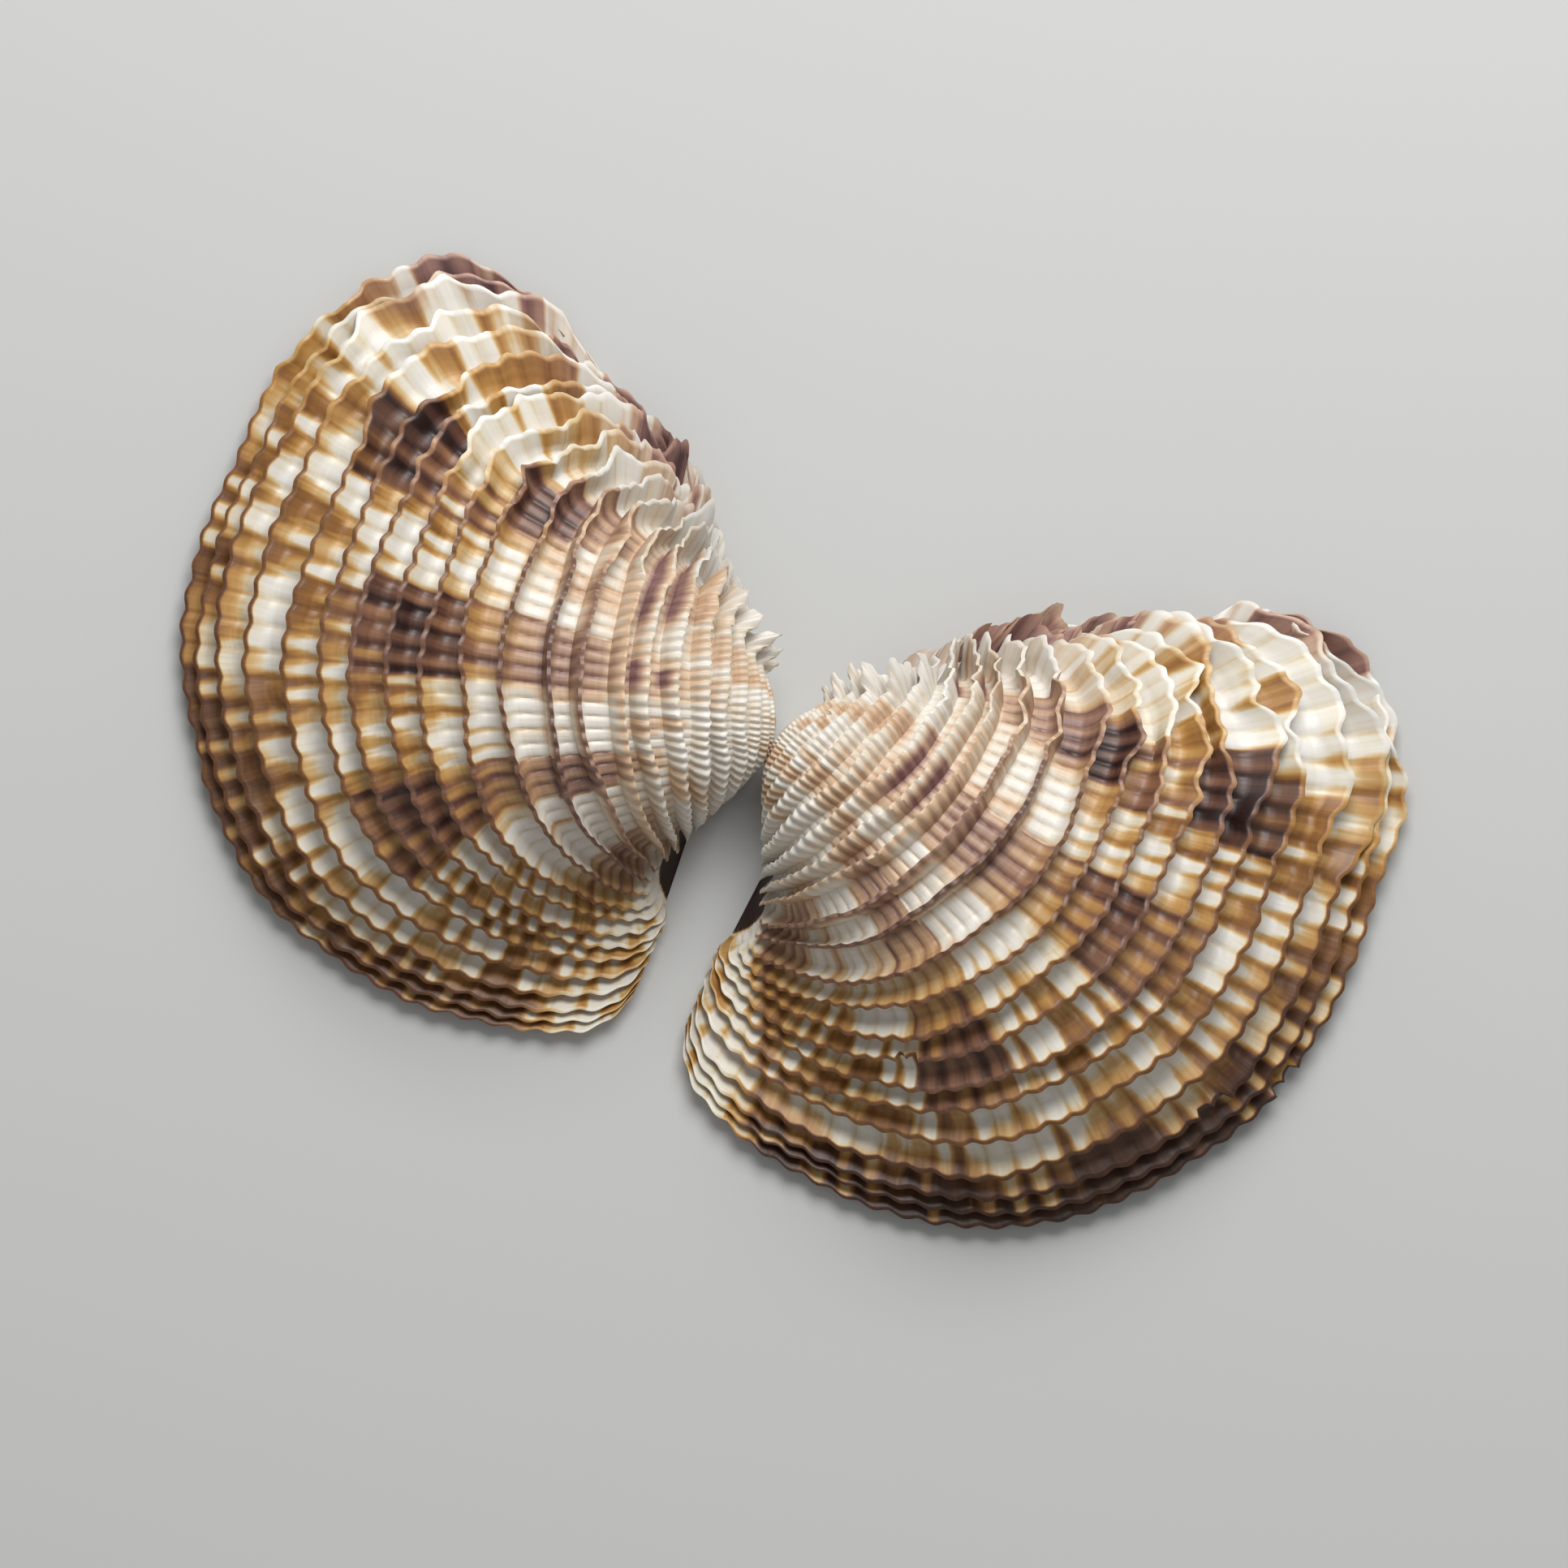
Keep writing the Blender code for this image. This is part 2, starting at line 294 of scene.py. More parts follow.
RUFF_EDGE_SPAN = 0.1
RUFF_EDGE_LOSS = 0.65
RUFF_EDGE_FROM = 0.7
RUFF_EDGE_GROWTH = 0.2
RUFFLED_TO = 0.42
RUFFLED_SPAN = 0.14
SCALLOP = 0.05
RAGGED = 0.07
RAGGED_RUFF = 0.28
RAGGED_PERIOD = 1.4
CHIP_CHANCE = 0.004
CHIP_DEPTH = 0.4
RIB_ROUNDNESS = 2.6
LUNULE_YOUNG = 0.055
LUNULE_FROM = 0.42
LUNULE_SPAN = 0.34

rib_share = RIB_AT - np.floor(RIB_AT)
RIB_BUMP = 1.0 - np.abs(2.0 * rib_share - 1.0) ** RIB_ROUNDNESS
RIB_WAVE = 0.5 - 0.5 * np.cos(2.0 * np.pi * rib_share)
FROM_RIDGE = PLACES - ESCUTCHEON_END


def lunule_edge(stage):
    """Place where the ribs end and the lunule begins, further back on the young shell."""
    return LUNULE_START - LUNULE_YOUNG * (1.0 - rise(stage, LUNULE_FROM, LUNULE_SPAN))


# How much of a plate stands in every column: all of it on the ribs, none on the two fields.
each_stage = STAGES[:, None]
unworn = 1.0 - rise(each_stage, LUNULE_FROM, LUNULE_SPAN)
from_lunule = lunule_edge(each_stage) - PLACES
taper = np.clip(from_lunule / (FOOT_FADE + FOOT_TAPER * unworn), 0.0, 1.0)
COVER = smooth(FROM_RIDGE / RUFF_FADE) * taper

# How far the siphon end's plates are cut low, stand tall and ruffle, in every column.
late = rise(each_stage, RUFF_EDGE_FROM, RUFF_EDGE_GROWTH)
RUFF_CUT = RUFF_EDGE_LOSS * fall(PLACES, RUFF_EDGE, RUFF_EDGE_SPAN) * late
FRILL = smooth(1.0 - FROM_RIDGE / POSTERIOR_SPAN)
RUFFLED = fall(PLACES, RUFFLED_TO, RUFFLED_SPAN)


def wander(draw, period, sharp=False):
    """Random wave along the rim for every lamella, from -1 to 1, smooth or with corners."""
    knots = draw.uniform(-1.0, 1.0, (BANDS, int(RIBS / period) + 4))
    at = np.clip(RIB_AT / period + 1.0, 0.0, knots.shape[1] - 1.001)
    low = at.astype(int)
    ease = at - low if sharp else smooth(at - low)
    return knots[:, low] * (1.0 - ease) + knots[:, low + 1] * ease


def lamella_heights(draw):
    """Height in mm of every lamella in every column."""
    blade = LAMELLA_HEIGHT * rise(each_stage, HEIGHT_FROM, HEIGHT_SPAN)
    ends = POSTERIOR_GAIN * FRILL - ANTERIOR_LOSS * rise(PLACES, ANTERIOR_FROM, ANTERIOR_SPAN)
    heights = blade * (1.0 + ends + SCALLOP * (2.0 * RIB_WAVE - 1.0))
    heights = heights * (1.0 + FRILL * np.interp(STAGES, *np.array(RUFF_SHARES).T)[:, None])
    sharp = rise(each_stage, SPIKE_FROM, SPIKE_SPAN) * (1.0 - SPIKE_WEAR * each_stage)
    shift = SPIKE_YOUNG * (1.0 - rise(each_stage, SPIKE_AGE, SPIKE_AGE_SPAN))
    for at, half, share in zip(SPIKE_AT, SPIKE_HALF_WIDTH, SPIKE_SHARE):
        tip = at + shift + SPIKE_SCATTER * draw.uniform(-1.0, 1.0, (BANDS, 1))
        size = SPIKE_LENGTH * share * draw.uniform(*SPIKE_SIZES, (BANDS, 1))
        heights += size * sharp * np.clip(1.0 - np.abs(PLACES - tip) / half, 0.0, 1.0)
    ragged = 1.0 + (RAGGED + RAGGED_RUFF * FRILL) * wander(draw, RAGGED_PERIOD, sharp=True)
    chips = draw.random((BANDS, RIBS + 2)) < CHIP_CHANCE
    broken = chips[:, np.clip(RIB_AT + 0.5, 0, RIBS).astype(int)]
    return COVER * (1.0 - RUFF_CUT) * heights * ragged * (1.0 - CHIP_DEPTH * broken * RIB_BUMP)


heights_seen = lamella_heights(np.random.default_rng(1))
print("tallest lamella in mm:", round(float(heights_seen.max()), 2))

# %% [markdown]
# ## Sculpting the outside
#
# Every vertex starts on the smooth spiral and is then moved along the surface's own
# directions: outwards by the lamella's height or the rib's relief, and along the growth by the
# lamella's lean and wave. Young plates lean back to the beak and their edges twist like rope.
# Older ones lean over to the rim, and at the siphon end they spread into a torn, lobed ruff.
# Lengths shrink where bands crowd, so that no plate runs into the next.

# %% Outside of a valve
FULL_GAP = 1.9
NEXT_GAP_USE = 1.4
LEAST_GAP_SHARE = 0.02
LEAN_YOUNG = -0.4
LEAN_OLD = 0.28
LEAN_FROM = 0.42
LEAN_SPAN = 0.24
RUFF_LEAN = 0.85
FOOT_LEAN = 0.5
FOOT_LEAN_FROM = 0.74
FOOT_LEAN_SPAN = 0.08
RUFF_FLARE = 0.35
RUFF_FLARE_REACH = 0.09
FOOT_FLARE = 0.6
FOOT_FLARE_YOUNG = 0.25
FOOT_FLARE_FROM = 0.6
FOOT_FLARE_SPAN = 0.1
FOOT_FLARE_REACH = 0.06
BAND_DRIFT = 0.13
DRIFT_PERIOD = 7.0
SWAY = 0.11
RUFF_SWAY = 0.35
SWAY_PERIOD = 3.0
RIB_RELIEF = 0.15
YOUNG_RELIEF = 0.18
RUFF_RELIEF_LOSS = 0.5
PLATE_RELIEF_LOSS = 0.6
PILLOW = 0.45
PILLOW_END = 0.8
CREST_WAVE = 0.06
YOUNG_WAVE = 0.5
TWIST_FROM = 0.26
TWIST_SPAN = 0.2
RUFF_WAVE = 0.04
CREST_JAG = 0.07
RUFF_JAG = 0.24
JAG_PERIOD = 0.75
RUFF_LOBES = 0.66
LOBE_PERIOD = 1.3
RIM_WAVE = 0.08
LEAST_HEIGHT = 0.02
BEAK_DROP = 0.12
BEAK_DROP_SPAN = 0.02
TRIAL_CUT_BACK = 0.7
TRIAL_SEED = 1


def outside(depth, draw):
    """Points of one valve's outside in its own frame, in mm, row by row."""
    margin = margin_at(PLACES, depth)
    gaps = np.diff(STAGES, prepend=STAGES[0] - (STAGES[1] - STAGES[0]))
    drift = BAND_DRIFT * wander(draw, DRIFT_PERIOD) * gaps[:, None]
    drift[-1] = 0.0
    stage_of = each_stage + drift
    height = lamella_heights(draw)

    def velocity(at):
        change = grown(at * (1.0 + NUDGE), margin) - grown(at * (1.0 - NUDGE), margin)
        return change / (2.0 * NUDGE * at)[..., None]

    speed = np.linalg.norm(velocity(stage_of), axis=-1)
    beak = np.full((1, COLUMNS + 1), BEAK_STAGE)
    edges = np.vstack([beak, stage_of, np.ones((1, COLUMNS + 1))])
    widths = np.linalg.norm(np.diff(grown(edges, margin), axis=0), axis=-1)
    gap = np.minimum(widths[:-1], widths[1:] * NEXT_GAP_USE)
    room = np.clip(gap / FULL_GAP, LEAST_GAP_SHARE, 1.0)
    sway = (SWAY + RUFF_SWAY * FRILL) * wander(draw, SWAY_PERIOD) * room
    grown_up = rise(each_stage, LEAN_FROM, LEAN_SPAN)
    upright = LEAN_YOUNG + (LEAN_OLD - LEAN_YOUNG) * grown_up
    upright = upright + (FOOT_LEAN - upright) * rise(PLACES, FOOT_LEAN_FROM, FOOT_LEAN_SPAN)
    lean = (upright + (RUFF_LEAN - upright) * FRILL) * (1.0 - RUFF_CUT) * height
    jag = (CREST_JAG + RUFF_JAG * RUFFLED) * wander(draw, JAG_PERIOD, sharp=True)
    jag += RUFF_LOBES * RUFFLED * wander(draw, LOBE_PERIOD, sharp=True)

    # From one value for each lamella to one for each row, floors spread between the plates.
    band = ROWS["band"][:, 0].astype(int)
    here = np.minimum(band, BANDS - 1)
    cover = COVER[here]
    lift = ROWS["lift"]
    shift = ROWS["offset"] * room[here] + lift ** 2 * (lean[here] + sway[here] * cover)
    stage = stage_of[here] + shift / speed[here]
    starts = np.vstack([beak, stage[np.flatnonzero(np.diff(band))]])
    on_floor = ROWS["floor"][:, 0] >= 0.0
    first = {b: np.flatnonzero((band == b) & ~on_floor)[0] for b in range(BANDS)}
    for row in np.flatnonzero(on_floor):
        if band[row] < BANDS:
            share = ROWS["floor"][row, 0]
            stage[row] = starts[band[row]] * (1 - share) + stage[first[band[row]]] * share
    stage[-1] = 1.0

    base = grown(stage, margin)
    forward = velocity(stage)
    sideways = np.gradient(base, axis=1)
    pitch = np.linalg.norm(sideways, axis=-1) * RIB_COLUMNS
    normal = unit(np.cross(forward, sideways))
    forward = unit(forward)
    sideways = unit(sideways)

    # Ribs swell between the plates, plates wave along the growth and flare at both ends.
    swell = np.sin(np.pi * np.clip(ROWS["along"] / PILLOW_END, 0.0, 1.0))
    relief = RIB_RELIEF + (YOUNG_RELIEF - RIB_RELIEF) * (1.0 - grown_up)[here]
    relief = relief * (1.0 - RUFF_RELIEF_LOSS * FRILL) * pitch * RIB_BUMP * cover
    relief = relief * (1.0 - PILLOW + PILLOW * swell) * (1.0 - PLATE_RELIEF_LOSS * ROWS["wave"])
    twisted = 1.0 - rise(stage, TWIST_FROM, TWIST_SPAN)
    swing = CREST_WAVE + (YOUNG_WAVE - CREST_WAVE) * twisted + RUFF_WAVE * FRILL
    crest = swing * (RIB_WAVE - 0.5) + jag[here] * np.sqrt(room[here])
    crest = crest * pitch * cover * ROWS["wave"]
    flare = rise(stage, FOOT_FLARE_FROM, FOOT_FLARE_SPAN)
    flare = FOOT_FLARE_YOUNG + (FOOT_FLARE - FOOT_FLARE_YOUNG) * flare
    flare = flare * smooth(1.0 - (LUNULE_START - PLACES) / FOOT_FLARE_REACH)
    flare = flare - RUFF_FLARE * smooth(1.0 - FROM_RIDGE / RUFF_FLARE_REACH)
    flare = flare * lift ** 2 * height[here]
    points = base + normal * (lift * height[here] + relief)[..., None]
    points += forward * crest[..., None] + sideways * flare[..., None]
    rim_scallop = RIM_WAVE * pitch[-1] * RIB_BUMP * cover[-1]
    points[-1] = base[-1] + forward[-1] * rim_scallop[:, None]
    points[0, :, 1] -= BEAK_DROP * smooth(np.minimum(PLACES, 1.0 - PLACES) / BEAK_DROP_SPAN)
    points[..., 2] = np.maximum(points[..., 2], LEAST_HEIGHT)
    points[0, :, 2] = points[-1, :, 2] = points[:, 0, 2] = points[:, -1, 2] = 0.0
    return points, stage


trial_points, trial_stage = outside(TRIAL_CUT_BACK, np.random.default_rng(TRIAL_SEED))
print("height of one outside in mm:", round(float(trial_points[..., 2].max()), 2))

# %% [markdown]
# ## The hollow underside
#
# Turned over, a valve is a smooth porcelain bowl with a flat rim, a notched inner edge and a
# thick plate under the beak that carries the hinge's teeth. Rings of points run from the
# outline in to the middle of the bowl. The bowl's roof is found by looking straight up at a
# second spiral surface that lies one wall's thickness inside the outer one.

# %% Underside of a valve
WALL = 1.6
WALL_STAGES = np.linspace(0.12, 1.0, 90)
WALL_PLACES = np.linspace(0.0, 1.0, 161)
BELOW_ALL = -4.0
BOWL_CENTRE = np.array([4.5, 17.5])
SPOKES = 400
EDGE_INSET = 0.2
BEAK_INSET = 0.45
RIM_WIDTH = 2.1
HINGE_PLATE = 5.2
PLATE_DEPTH = 9.0
PLATE_LINE = 6.2
RIM_SHARES = [0.0, 0.14, 0.28, 0.42, 0.56, 0.7, 0.85]
BOWL_SHARES = [1.0, 0.985, 0.96, 0.93, 0.89, 0.83, 0.75, 0.65, 0.53, 0.4, 0.27, 0.13, 0.0]
ARCH_FROM = 16.8
ARCH_SPAN = 14.0
BOWL_EDGE = 0.35
BOWL_EDGE_SPAN = 0.03
NOTCH_DEPTH = 0.22
NOTCH_REACH = 1.3
NOTCH_REACH_IN_BOWL = 0.06
NOTCHES_FROM = 3.0
NOTCHES_SPAN = 3.0
TOOTH_ANGLES = [-34.0, -6.0, 24.0]
TOOTH_HALF_WIDTH = 0.42
TOOTH_SLOPE = 0.3
SOCKET_DEPTH = 0.85
SOCKET_SLOPE = 0.8
TEETH_FROM = 1.2
TEETH_TO = 5.2
TEETH_MIDDLE = -5.0
TEETH_SPREAD = 50.0
TEETH_SPREAD_FADE = 8.0


def wall_inside(margin):
    """The surface one wall's thickness inside the smooth spiral, as a tree for ray casts."""
    stages = WALL_STAGES[:, None] * np.ones(len(margin))
    base = grown(stages, margin)
    forward = grown(stages * (1.0 + NUDGE), margin) - grown(stages * (1.0 - NUDGE), margin)
    normal = unit(np.cross(forward, np.gradient(base, axis=1)))
    inner = (base - normal * WALL).reshape(-1, 3)
    width = len(margin)
    quads = [
        (r * width + c, r * width + c + 1, (r + 1) * width + c + 1, (r + 1) * width + c)
        for r in range(len(stages) - 1) for c in range(width - 1)
    ]
    return BVHTree.FromPolygons([Vector(point) for point in inner], quads)


def ray_lengths(loop, angles):
    """How far the closed outline lies from the bowl's centre in each direction."""
    start = loop - BOWL_CENTRE
    step = np.roll(start, -1, axis=0) - start
    aim = np.stack([np.cos(angles), np.sin(angles)], axis=1)
    cross = aim[:, None, 0] * step[None, :, 1] - aim[:, None, 1] * step[None, :, 0]
    cross = np.where(np.abs(cross) < 1e-12, 1e-12, cross)
    far = (start[None, :, 0] * step[None, :, 1] - start[None, :, 1] * step[None, :, 0]) / cross
    share = (start[None, :, 0] * aim[:, None, 1] - start[None, :, 1] * aim[:, None, 0]) / cross
    hit = (share > -1e-6) & (share < 1.0 + 1e-6) & (far > 0.0)
    return np.where(hit, far, 1e9).min(axis=1), aim


def sockets(flat):
    """Depth of the sockets between the hinge's teeth, at points of the plate."""
    angle = np.degrees(np.arctan2(flat[..., 0], np.maximum(flat[..., 1], 1e-6)))
    reach = np.linalg.norm(flat, axis=-1)
    zone = rise(reach, TEETH_FROM, SOCKET_SLOPE) * fall(reach, TEETH_TO, SOCKET_SLOPE)
    zone = zone * fall(np.abs(angle - TEETH_MIDDLE), TEETH_SPREAD, TEETH_SPREAD_FADE)
    for tooth in TOOTH_ANGLES:
        away = np.abs(np.radians(angle - tooth)) * reach
        zone = zone * rise(away, TOOTH_HALF_WIDTH, TOOTH_SLOPE)
    return SOCKET_DEPTH * zone


def underside(points, depth):
    """Rings of points from the outline to the middle of the bowl, and where each one lies."""
    loop = np.vstack([points[-1], points[-2:0:-1, -1], points[0, ::-1], points[1:-1, 0]])[:, :2]
    steps = np.linalg.norm(np.roll(loop, -1, axis=0) - loop, axis=1)
    reach = np.concatenate([[0.0], np.cumsum(steps)[:-1]]) / steps.sum()
    around = np.unwrap(np.arctan2(*(loop - BOWL_CENTRE).T[::-1]))
    around = np.maximum.accumulate(around * np.sign(around[-1] - around[0]))
    share = np.arange(SPOKES) / SPOKES
    turns = np.sign(np.cross(loop[10] - BOWL_CENTRE, loop[60] - BOWL_CENTRE))
    far, aim = ray_lengths(loop, np.interp(share, reach, around) * turns)
    upwards = np.maximum(-aim[:, 1], 1e-6)
    edge_far = np.minimum(far - EDGE_INSET, (BOWL_CENTRE[1] - BEAK_INSET) / upwards)
    edge_down = BOWL_CENTRE[1] + aim[:, 1] * far
    inset = RIM_WIDTH + (HINGE_PLATE - RIM_WIDTH) * smooth(1.0 - edge_down / PLATE_DEPTH)
    mouth = np.minimum(far - inset, (BOWL_CENTRE[1] - PLATE_LINE) / upwards)

    # One notch for each rib, along the growing edge alone.
    rim_share = share * steps.sum() / steps[:COLUMNS].sum()
    rib_at = np.interp(rim_share, PLACES, RIB_AT)
    notches = np.where(rim_share < 1.0, np.sin(np.pi * rib_at) ** 2, 0.0)
    notches = notches * rise(edge_down, NOTCHES_FROM, NOTCHES_SPAN)

    tree = wall_inside(margin_at(WALL_PLACES, depth))
    rings = []
    lies = []
    for way in RIM_SHARES:
        radius = edge_far + (mouth - edge_far) * way
        flat = BOWL_CENTRE + aim * radius[:, None]
        groove = NOTCH_DEPTH * notches * smooth(1.0 - (radius - mouth) / NOTCH_REACH)
        height = np.where(way > 0.0, groove + sockets(flat), 0.0)
        rings.append(np.column_stack([flat, height]))
        lies.append(np.full(SPOKES, 1.0 + (1.0 - way)))
    for way in BOWL_SHARES:
        flat = BOWL_CENTRE + aim * (mouth * way)[:, None]
        arch = 1.0 + (math.sqrt(1.0 - way * way) - 1.0) * fall(flat[:, 1], ARCH_FROM, ARCH_SPAN)
        roof = []
        for x, y in flat:
            hit = tree.ray_cast(Vector((x, y, BELOW_ALL)), Vector((0.0, 0.0, 1.0)))[0]
            roof.append(hit.z if hit else 0.0)
        height = np.maximum(np.array(roof), 0.0) * arch
        height = height * smooth((1.0 - way) / BOWL_EDGE_SPAN + BOWL_EDGE)
        notch = NOTCH_DEPTH * notches * smooth(1.0 - (1.0 - way) / NOTCH_REACH_IN_BOWL)
        rings.append(np.column_stack([flat, np.maximum(height, notch)]))
        lies.append(np.full(SPOKES, way))
    return np.array(rings), np.array(lies)


trial_rings = underside(trial_points, TRIAL_CUT_BACK)[0]
bowl_depth = round(float(trial_rings[..., 2].max()), 2)
print(len(trial_rings), "rings of", SPOKES, "spokes, bowl", bowl_depth, "mm deep")

# %% [markdown]
# ## Laying the pair out
#
# The valves are mirror images. Each has a pole, where its beak lies, and a heading, the way its
# disc points, clockwise from +Y. The pair's centre is taken off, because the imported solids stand
# with the middle of their box on the origin.

# %% Place in the pair
RIGHT_VALVE = {
    "pole": (-3.4, -0.8), "heading": -87.0, "mirror": 1.0, "size": 1.0,
    "cut_back": 0.7, "rim_stain": 0.06,
}
LEFT_VALVE = {
    "pole": (2.35, -3.45), "heading": 133.0, "mirror": -1.0, "size": 1.02,
    "cut_back": 2.6, "rim_stain": 0.2,
}
PAIR_CENTRE = np.array([0.882, -1.775])


def place(points, valve):
    """Points of a valve's own frame, in mm, to where they lie in the pair, in metres."""
    heading = math.radians(valve["heading"])
    ventral = np.array([math.sin(heading), math.cos(heading)])
    posterior = np.array([math.cos(heading), -math.sin(heading)]) * valve["mirror"]
    flat = points[..., :1] * posterior + points[..., 1:2] * ventral
    flat = np.array(valve["pole"]) + flat * valve["size"] - PAIR_CENTRE
    return np.concatenate([flat, points[..., 2:] * valve["size"]], axis=-1) * MM


print("right beak at", np.round(place(np.zeros((1, 3)), RIGHT_VALVE) / MM, 2), "mm")

# %% [markdown]
# ## From grids to a closed shell
#
# Two plain grids are added and their vertices laid on the points worked out above. The
# underside's grid rolls into rings, so its first and last columns meet and its last row is one
# point: merging the doubles closes the seam and the pole. The two are joined, and a fill
# between their open edges closes the shell along the rim.

# %% Closing a valve
MERGE = 1e-7
CREASE = math.radians(62.0)


def only(thing):
    """Select one object and nothing else."""
    bpy.ops.object.select_all(action="DESELECT")
    thing.select_set(True)
    bpy.context.view_layer.objects.active = thing


def laid_grid(name, points):
    """A grid primitive with its vertices laid on rows of points."""
    across, down = points.shape[1] - 1, points.shape[0] - 1
    bpy.ops.mesh.primitive_grid_add(x_subdivisions=across, y_subdivisions=down, size=1.0)
    grid = bpy.context.object
    grid.name = name
    grid.data.name = name
    grid.data.vertices.foreach_set("co", points.reshape(-1).astype(np.float32))
    grid.data.update()
    return grid


def paint(grid, name, values):
    """Keep one number for each vertex under a name that a material can read."""
    layer = grid.data.attributes.new(name, "FLOAT", "POINT")
    layer.data.foreach_set("value", np.ascontiguousarray(values, dtype=np.float32).reshape(-1))


def close_shell(outer, under):
    """Roll up the underside, join it to the outside and fill the rim between them."""
    only(under)
    bpy.ops.object.mode_set(mode="EDIT")
    bpy.ops.mesh.select_all(action="SELECT")
    bpy.ops.mesh.remove_doubles(threshold=MERGE)
    bpy.ops.object.mode_set(mode="OBJECT")
    outer.select_set(True)
    bpy.context.view_layer.objects.active = outer
    bpy.ops.object.join()
    bpy.ops.object.mode_set(mode="EDIT")
    bpy.ops.mesh.select_mode(type="EDGE")
    bpy.ops.mesh.select_all(action="DESELECT")
    bpy.ops.mesh.select_non_manifold(
        extend=False, use_wire=False, use_multi_face=False,
        use_non_contiguous=False, use_verts=False,
    )
    bpy.ops.mesh.fill(use_beauty=True)
    bpy.ops.mesh.select_all(action="SELECT")
    bpy.ops.mesh.normals_make_consistent(inside=False)
    bpy.ops.object.mode_set(mode="OBJECT")
    bpy.ops.object.shade_smooth_by_angle(angle=CREASE)
    return outer


def signed_volume(thing):
    """Volume inside a closed mesh, negative if its faces point inwards."""
    mesh = thing.data
    mesh.calc_loop_triangles()
    corner = np.empty(len(mesh.loop_triangles) * 3, np.int32)
    mesh.loop_triangles.foreach_get("vertices", corner)
    spots = np.empty(len(mesh.vertices) * 3)
    mesh.vertices.foreach_get("co", spots)
    a, b, c = spots.reshape(-1, 3)[corner].reshape(-1, 3, 3).transpose(1, 0, 2)
    return float((a * np.cross(b, c)).sum() / 6.0)


def face_outwards(shell):
    """Turn the faces round if they point into the shell."""
    if signed_volume(shell) < 0.0:
        bpy.ops.object.mode_set(mode="EDIT")
        bpy.ops.mesh.select_all(action="SELECT")
        bpy.ops.mesh.flip_normals()
        bpy.ops.object.mode_set(mode="OBJECT")


# %% [markdown]
# ## Colour from growth
#
# The animal lays colour down at the growing edge, so the pattern follows the same two
# directions as the sculpture. A painted image could do the same, but it would have to be fitted
# to the spiral. Here every vertex already knows its place and its stage. Long dark rays come
# first. Each is a short list of places along the growth, with a half width and a strength, and
# the values between them are interpolated.

# %% Rays of colour
# Stage, place along the rim, half width, strength.
POSTERIOR_RAY = [
    (0.40, 0.300, 0.030, 0.25), (0.50, 0.318, 0.034, 0.60), (0.56, 0.335, 0.034, 0.85),
    (0.62, 0.355, 0.036, 0.60), (0.67, 0.350, 0.030, 0.50), (0.72, 0.345, 0.030, 1.00),
    (0.78, 0.350, 0.032, 0.85), (0.84, 0.360, 0.036, 0.55), (0.90, 0.350, 0.040, 0.25),
    (1.00, 0.360, 0.050, 0.40),
]
MIDDLE_RAY = [
    (0.24, 0.500, 0.030, 0.22), (0.30, 0.490, 0.035, 0.22), (0.38, 0.480, 0.040, 0.30),
    (0.45, 0.485, 0.040, 0.50), (0.56, 0.480, 0.036, 0.55), (0.62, 0.480, 0.042, 0.75),
    (0.67, 0.480, 0.044, 0.85), (0.72, 0.480, 0.044, 0.65), (0.78, 0.475, 0.050, 0.30),
    (0.86, 0.480, 0.060, 0.20), (0.92, 0.500, 0.080, 0.40), (1.00, 0.510, 0.100, 0.58),
]
ANTERIOR_RAY = [
    (0.34, 0.610, 0.020, 0.30), (0.44, 0.617, 0.022, 0.55), (0.55, 0.622, 0.026, 0.55),
    (0.62, 0.630, 0.034, 0.70), (0.67, 0.636, 0.038, 0.80), (0.73, 0.645, 0.040, 0.80),
    (0.78, 0.648, 0.045, 0.50), (0.86, 0.655, 0.060, 0.35), (0.92, 0.665, 0.080, 0.45),
    (1.00, 0.670, 0.100, 0.60),
]
FOOT_RAY = [
    (0.36, 0.700, 0.030, 0.20), (0.46, 0.770, 0.035, 0.50), (0.56, 0.785, 0.035, 0.55),
    (0.66, 0.780, 0.050, 0.30), (0.80, 0.760, 0.060, 0.25), (1.00, 0.780, 0.060, 0.30),
]
RUFF_RAY = [
    (0.40, 0.140, 0.028, 0.45), (0.55, 0.150, 0.032, 0.65), (0.75, 0.155, 0.036, 0.75),
    (0.90, 0.195, 0.030, 0.60), (0.95, 0.238, 0.022, 0.70), (1.00, 0.262, 0.026, 0.85),
]
PEACH_RAY = [(0.16, 0.400, 0.030, 0.20), (0.30, 0.410, 0.032, 0.32), (0.35, 0.420, 0.030, 0.00)]
TAN_RAY = [
    (0.33, 0.360, 0.120, 0.00), (0.37, 0.380, 0.130, 0.22), (0.42, 0.380, 0.120, 0.24),
    (0.46, 0.360, 0.100, 0.00),
]
RAYS = (POSTERIOR_RAY, MIDDLE_RAY, ANTERIOR_RAY, FOOT_RAY, RUFF_RAY, PEACH_RAY, TAN_RAY)
RAY_EDGE = 0.5


def ray_strength(place, stage):
    """How strongly a dark ray shows at a place and stage."""
    total = np.zeros(np.broadcast(place, stage).shape)
    for ray in RAYS:
        at, middle, half, strength = np.array(ray).T
        middle = np.interp(stage, at, middle)
        half = np.interp(stage, at, half)
        level = np.interp(stage, at, strength, left=0.0)
        inwards = (1.0 - np.abs(place - middle) / half) / RAY_EDGE
        total = np.maximum(total, level * smooth(inwards + 0.5))
    return total


rays_at_rim = ray_strength(PLACES, 1.0) > 0.1
print("rays darken", int(rays_at_rim.sum()), "of", len(PLACES), "columns at the rim")

